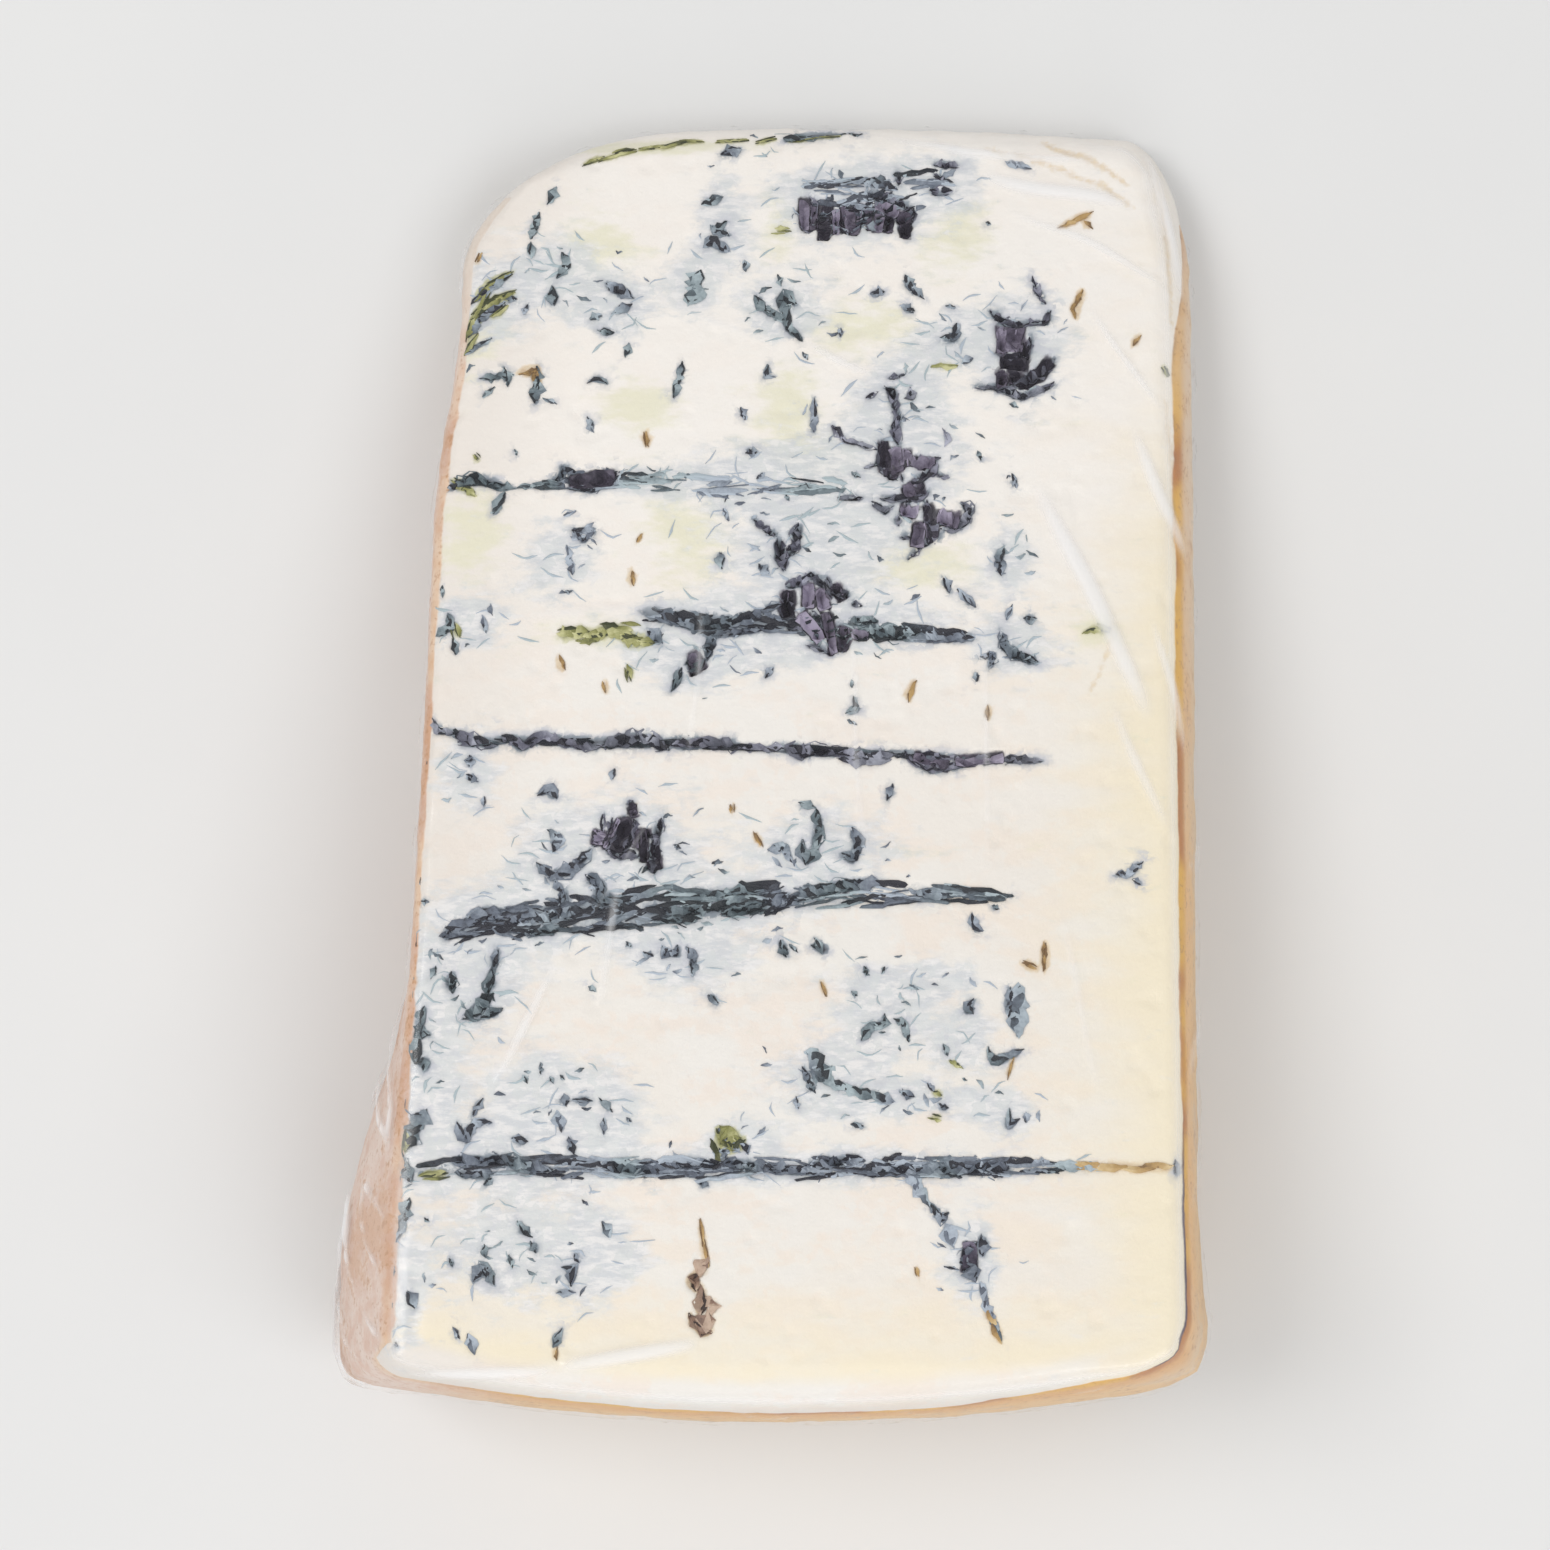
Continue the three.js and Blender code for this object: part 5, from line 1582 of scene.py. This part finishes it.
# Painted light that lifts the shaded rind at the tip's left edge
TIP_EDGE_PAINTED_LIGHT = colour(232, 223, 212)
# Painted shade of a gap between paste and rind
GAP_SHADE_VIOLET = colour(86, 74, 92)


def cheese_noises(finish):
    """Noises that break up the cheese's colours, from lumps of 16 mm to grains of 0.7 mm. Streak, smear
    and fibre are drawn out along the needle tracks, and tile and tint are even over bent shards."""
    place = finish.millimetres()
    drawn_out = finish.millimetres((2.2, 1, 1))
    jolt = finish.node("ShaderNodeTexNoise", {}, {"Vector": place, "Scale": 0.9, "Detail": 2.0}, out="Color")
    jolted = {0: jolt, 1: SHARD_JOLT, 2: place}
    bent = finish.node("ShaderNodeVectorMath", {"operation": "MULTIPLY_ADD"}, jolted)
    tile, tint = finish.shards(bent, 1.3)
    return SimpleNamespace(
        place=place,
        broad=finish.speckle(place, 16.0, 2.0),
        patch=finish.speckle(place, 2.6, 3.0),
        fine=finish.speckle(place, 0.7, 3.0, 0.65),
        streak=finish.speckle(drawn_out, 1.9, 4.0, 0.6),
        smear=finish.speckle(drawn_out, 4.5, 3.0, 0.55),
        fibre=finish.speckle(finish.millimetres((3.2, 1, 1)), 0.9, 4.0, 0.65),
        tile=tile,
        tint=tint,
    )


def paste_colour(finish, noises):
    """Cream paste with peach smears, paler at the tip and duller on the left, buttery by the heel and
    the right edge but pale on the heel's rolled edge as a painted highlight, and greenish where the mould is
    young."""
    paste = finish.blend(finish.step(noises.broad, 0.35, 0.65), CREAM, WARM_CREAM)
    paste = finish.blend(0.6 * finish.step(noises.smear + 0.15 * noises.tile, 0.52, 0.68), paste, PEACH)
    paste = finish.blend(0.75 - 0.75 * finish.field("heelward"), paste, TIP_CREAM)
    paste = finish.blend(0.5 * finish.field("blush"), paste, LEFT_CREAM)
    buttery = finish.field("butter") + 0.6 * (noises.smear - 0.5)
    paste = finish.blend(finish.step(buttery, 0.1, 0.9), paste, BUTTER)
    young = 0.8 * finish.field("young") + 1.6 * (noises.streak - 0.5) + 0.8 * (noises.smear - 0.5)
    return finish.blend(0.7 * finish.step(young, 0.2, 0.8), paste, YOUNG_GREEN)


def with_bloom(finish, noises, paste, haze):
    """A fibrous veil of bloom in clouds over the paste, and a darker haze close round the marks."""
    veil = finish.blend(finish.step(noises.fibre, 0.4, 0.62), VEIL_BLUE, VEIL_WHITE)
    veil = finish.blend(0.6 * finish.step(noises.tint, 0.55, 0.75), veil, VEIL_TEAL)
    spread = finish.field("clouds") + 0.15 * (noises.tile - 0.5) + 1.4 * (noises.streak - 0.5)
    spread = spread + 0.8 * (noises.fibre - 0.5)
    body = finish.blend(0.85 * finish.step(spread, 0.2, 0.7), paste, veil)
    near = finish.field("bloom") + 0.25 * (noises.tile - 0.5) + 0.8 * (noises.streak - 0.5)
    near = near + 0.4 * (noises.fine - 0.5)
    return finish.blend(0.85 * finish.step(near, 0.25, 0.75), body, haze)


def with_marks(finish, noises, body, deep):
    """A wash of slate in the marks, dark hollows, and olive and tan spots, all with ragged edges."""
    mould = finish.field("mould")
    grain = noises.fine - 0.5
    wash = finish.blend(finish.step(mould, 0.4, 0.8), WASH_PALE, WASH_DARK)
    edge = mould + 0.3 * grain + 0.2 * (noises.tile - 0.5)
    body = finish.blend(0.9 * finish.step(edge, 0.25, 0.5), body, wash)
    body = finish.blend(0.95 * finish.step(finish.field("hollow") + 0.3 * grain, 0.3, 0.6), body, deep)
    green = finish.blend(finish.step(noises.fine, 0.35, 0.65), OLIVE_DARK, OLIVE_PALE)
    body = finish.blend(0.8 * finish.step(finish.field("olive") + 0.6 * grain, 0.1, 0.5), body, green)
    tan = finish.blend(finish.step(noises.fine, 0.35, 0.65), TAN_DARK, TAN_PALE)
    return finish.blend(0.7 * finish.step(finish.field("ochre") + 0.6 * grain, 0.1, 0.5), body, tan)


def with_underside(finish, noises, body, haze, deep):
    """Bloom, dark veins and broken needle tracks on the cut face that the wedge rests on."""
    below = finish.field("below")
    lower = finish.step(noises.smear + 0.4 * (noises.streak - 0.5), 0.5, 0.62)
    body = finish.blend(0.8 * below * lower, body, haze)
    veins = 0.9 * below * lower * finish.step(noises.streak + 0.3 * (noises.fine - 0.5), 0.56, 0.64)
    body = finish.blend(veins, body, deep)
    along = finish.node("ShaderNodeSeparateXYZ", {}, {"Vector": noises.place}, out="Y") - NOISE_START[1]
    for track in UNDERSIDE_TRACKS:
        away = abs(along - track + 2.4 * (noises.smear - 0.5)) + 0.8 * (noises.fine - 0.5)
        shown = finish.step(noises.streak, 0.3, 0.45) * (1 - finish.step(away, 0.5, 1.3))
        body = finish.blend(0.9 * below * shown, body, UNDERSIDE_SLATE)
    return body


def crust_colour(finish, noises, under):
    """Rind: tan and mottled, golden just under the cut face, pinkish on the left, dusty in patches, with
    dark specks, a pale edge at the tip's left that is painted light lifting the shade it falls in, and a
    dark line low on the right that is painted shade of a gap between paste and rind."""
    heelward, blush, gap_shade = finish.field("heelward"), finish.field("blush"), finish.field("gap_shade")
    dusty = finish.step(noises.broad + 0.6 * (noises.patch - 0.5) + 0.3 * (noises.fine - 0.5), 0.5, 0.64)
    crust = finish.blend(heelward, TIP_RIND, HEEL_RIND)
    crust = finish.blend(0.6 * finish.step(noises.patch, 0.42, 0.7), crust, RIND_MOTTLE)
    crust = finish.blend(0.45 * dusty, crust, RIND_DUST)
    upper = (1 - finish.step(under, 0.15, 0.9)) * (0.35 + 0.65 * heelward)
    crust = finish.blend(0.75 * upper, crust, UPPER_GOLD)
    crust = finish.blend(0.5 * upper * finish.field("at_heel"), crust, UPPER_TAN)
    pink = finish.blend(finish.step(noises.patch, 0.3, 0.6), PINK_RIND, PINK_PALE)
    crust = finish.blend(blush, crust, finish.blend(0.75 * dusty, pink, PINK_TAN))
    line = finish.blend(finish.step(noises.broad, 0.45, 0.6), LINE_GOLD, LINE_RUST)
    near_face = 1 - finish.step(under + 0.12 * (noises.patch - 0.5), 0.1, 0.3)
    crust = finish.blend(near_face * (0.9 - 0.65 * blush) * finish.field("lined"), crust, line)
    specks = finish.step(noises.fine + 0.4 * (noises.patch - 0.5), 0.56, 0.68)
    crust = finish.blend(0.5 * specks, crust, RIND_SPECK)
    # Painted light: pale cream over the rind at the tip's left edge, lifting the shade it falls in
    crust = finish.blend(finish.field("tip_edge_painted_light"), crust, TIP_EDGE_PAINTED_LIGHT)
    # Painted shade: a dark violet line just under the cut face low on the right, where a gap between paste
    # and rind would lie in shade
    gap_shade_line = gap_shade * (1 - finish.step(under + 0.05 * (noises.patch - 0.5), 0.06, 0.1))
    return finish.blend(gap_shade_line * finish.step(noises.patch + 0.8 * gap_shade, 0.6, 1.0), crust, GAP_SHADE_VIOLET)


def cheese_finish():
    """Cream paste with blue-grey bloom and a wash of mould round the marks, dark violet hollows, olive
    and ochre spots, veins on the underside too, and a grainy rind."""
    finish = Finish("blue_cheese")
    noises = cheese_noises(finish)
    under = finish.field("under")
    haze = finish.blend(finish.step(noises.streak, 0.4, 0.6), HAZE_BLUE, HAZE_PALE)
    deep = finish.blend(finish.step(finish.field("broken"), 0.4, 0.75), HOLLOW_DARK, HOLLOW_PALE)
    body = with_bloom(finish, noises, paste_colour(finish, noises), haze)
    body = with_marks(finish, noises, body, deep)
    body = with_underside(finish, noises, body, haze, deep)
    rind = finish.field("rind") * finish.step(under + 0.012 * (noises.fine - 0.5), 0.035, 0.06)
    shader = finish.node("ShaderNodeBsdfPrincipled", {}, {
        "Base Color": finish.blend(rind, body, crust_colour(finish, noises, under)),
        "Roughness": 0.45 + 0.2 * noises.fine,
        "Normal": finish.bump(noises.fine + 2.5 * rind * noises.patch, 0.12, 0.6),
    })
    return finish.surface(shader)


def mould_finish():
    """Slate mould from pale grey-blue to nearly black, teal in places, violet in the hollows, ochre and
    brown where it has dried and olive where it is young."""
    finish = Finish("slate_mould")
    place = finish.millimetres()
    patch = finish.speckle(place, 1.6, 3.0)
    fine = finish.speckle(place, 0.45, 2.0)
    shade = finish.field("shade") + 0.4 * (patch - 0.5) + 0.3 * (fine - 0.5)
    middle = finish.step(shade, 0.05, 0.5)
    dark = finish.step(shade, 0.42, 0.8)

    def tones(pale, half, deep):
        return finish.blend(dark, finish.blend(middle, colour(*pale), colour(*half)), colour(*deep))

    in_places = 0.7 * finish.step(finish.speckle(place, 12.0, 2.0), 0.42, 0.58)
    tone = finish.blend(in_places, tones(*SLATE_TONES), tones(*TEAL_TONES))
    for name, shades in MOULD_TONES.items():
        tone = finish.blend(finish.field(name), tone, tones(*shades))
    shader = finish.node("ShaderNodeBsdfPrincipled", {}, {"Base Color": tone, "Roughness": 0.5 + 0.2 * fine})
    return finish.surface(shader)


# Film: roughness of its gloss, bend of light, most gloss at a slant, and how milk-white its folds are,
# a white that is partly the film's own and partly a painted highlight
FILM_ROUGHNESS = 0.14
FILM_BEND = 1.36
FILM_MOST_GLOSS = 0.12
FILM_MILK_HIGHLIGHT = 0.62
FILM_MILK_HIGHLIGHT_FROM = 0.03
FILM_MILK_HIGHLIGHT_FULL = 0.42
FILM_MILK_HIGHLIGHT_TINT = (0.97, 0.97, 0.98, 1)
WHITE = (1, 1, 1, 1)


def film_finish():
    """Clear film: mostly seen through, with a gloss that grows at a slant and milk-white folds, partly the
    film's own whitening and partly a painted highlight along creases and edges.
    """
    finish = Finish("clear_film")
    gloss = finish.node("ShaderNodeBsdfGlossy", {}, {"Color": WHITE, "Roughness": FILM_ROUGHNESS})
    clear = finish.node("ShaderNodeBsdfTransparent", {}, {"Color": WHITE})
    slant = finish.node("ShaderNodeFresnel", {}, {"IOR": FILM_BEND})
    share = finish.node("ShaderNodeMath", {"operation": "MINIMUM"}, {0: slant, 1: FILM_MOST_GLOSS})
    glossy = finish.node("ShaderNodeMixShader", {}, {0: share, 1: clear, 2: gloss})
    # Painted highlight in part: matt white on the folds, lip and pleats stands in for glints of the film
    milky_highlight = finish.node("ShaderNodeBsdfDiffuse", {}, {"Color": FILM_MILK_HIGHLIGHT_TINT})
    fold = FILM_MILK_HIGHLIGHT * finish.step(finish.field("fold"), FILM_MILK_HIGHLIGHT_FROM, FILM_MILK_HIGHLIGHT_FULL)
    return finish.surface(finish.node("ShaderNodeMixShader", {}, {0: fold, 1: glossy, 2: milky_highlight}))


def floor_finish():
    """Pale matt board, faintly clouded."""
    finish = Finish("pale_floor")
    clouds = finish.speckle(finish.millimetres(), 60.0, 3.0)
    tone = finish.blend(clouds, colour(222, 222, 222), colour(228, 228, 227))
    return finish.surface(finish.node("ShaderNodeBsdfPrincipled", {}, {"Base Color": tone, "Roughness": 0.8}))


# Studio

FLOOR_HALF = 2500.0
SURROUNDINGS = 0.54
LIGHT_AIM = (0, 0, 20)

# Lights: name, place, size, power in watts and tint
LIGHTS = [
    ("key_light", (-560, 180, 1000), 500, 4.5, (1.0, 0.99, 0.975)),
    ("fill_light", (480, -330, 1000), 600, 3.05, (0.98, 0.99, 1.0)),
    ("heel_light", (60, -620, 420), 500, 0.8, (1.0, 1.0, 1.0)),
]


def area_light(name, place, size, power, tint):
    """A square soft light that points at the middle of the wedge."""
    data = bpy.data.lights.new(name, "AREA")
    data.size = size * MM
    data.energy = power
    data.color = tint
    light = bpy.data.objects.new(name, data)
    light.location = Vector(place) * MM
    light.rotation_euler = (Vector(LIGHT_AIM) - Vector(place)).to_track_quat("-Z", "Y").to_euler()
    bpy.context.scene.collection.objects.link(light)


def pale_floor():
    """A wide square floor at height 0."""
    corners = np.array([(-1, -1, 0), (1, -1, 0), (1, 1, 0), (-1, 1, 0)]) * FLOOR_HALF
    mesh = bpy.data.meshes.new("floor")
    mesh.from_pydata((corners * MM).tolist(), [], [(0, 1, 2, 3)])
    mesh.materials.append(floor_finish())
    floor = bpy.data.objects.new("floor", mesh)
    bpy.context.scene.collection.objects.link(floor)


def studio(centre):
    """Floor, soft lights, pale surroundings, and a camera that looks straight down."""
    scene = bpy.context.scene
    pale_floor()
    for light in LIGHTS:
        area_light(*light)
    world = bpy.data.worlds.new("pale_surroundings")
    world.use_nodes = True
    sky = world.node_tree.nodes["Background"]
    sky.inputs["Color"].default_value = WHITE
    sky.inputs["Strength"].default_value = SURROUNDINGS
    scene.world = world
    scene.view_settings.view_transform = "Standard"

    data = bpy.data.cameras.new("camera")
    data.lens = CAMERA_LENS
    data.sensor_width = SENSOR
    camera = bpy.data.objects.new("camera", data)
    camera.location = Vector((-centre[0], -centre[1], CAMERA_HEIGHT)) * MM
    scene.collection.objects.link(camera)
    scene.camera = camera


def build():
    """Makes the cheese, its mould and its film, centred as the solid is, and the studio round them."""
    cheese_points, cheese_faces, cheese_fields = cheese_surface()
    mould_points, mould_faces, mould_fields = mould_surface()
    film_points, film_faces, film_fields = film_surface()
    (across, along, up), _ = cube_shell(*FILM_CELLS)
    plain = wedge_form(across, along, up)
    centre = (plain.min(axis=0) + plain.max(axis=0)) / 2 * (1, 1, 0)
    raised = cheese_points - centre + (0, 0, CHEESE_LIFT)
    make_piece("cheese", raised, cheese_faces, cheese_finish(), cheese_fields)
    raised = mould_points - centre + (0, 0, CHEESE_LIFT)
    make_piece("mould", raised, mould_faces, mould_finish(), mould_fields, smooth=False)
    make_piece("film", film_points - centre, film_faces, film_finish(), film_fields)
    studio(centre)


build()
bpy.context.view_layer.update()
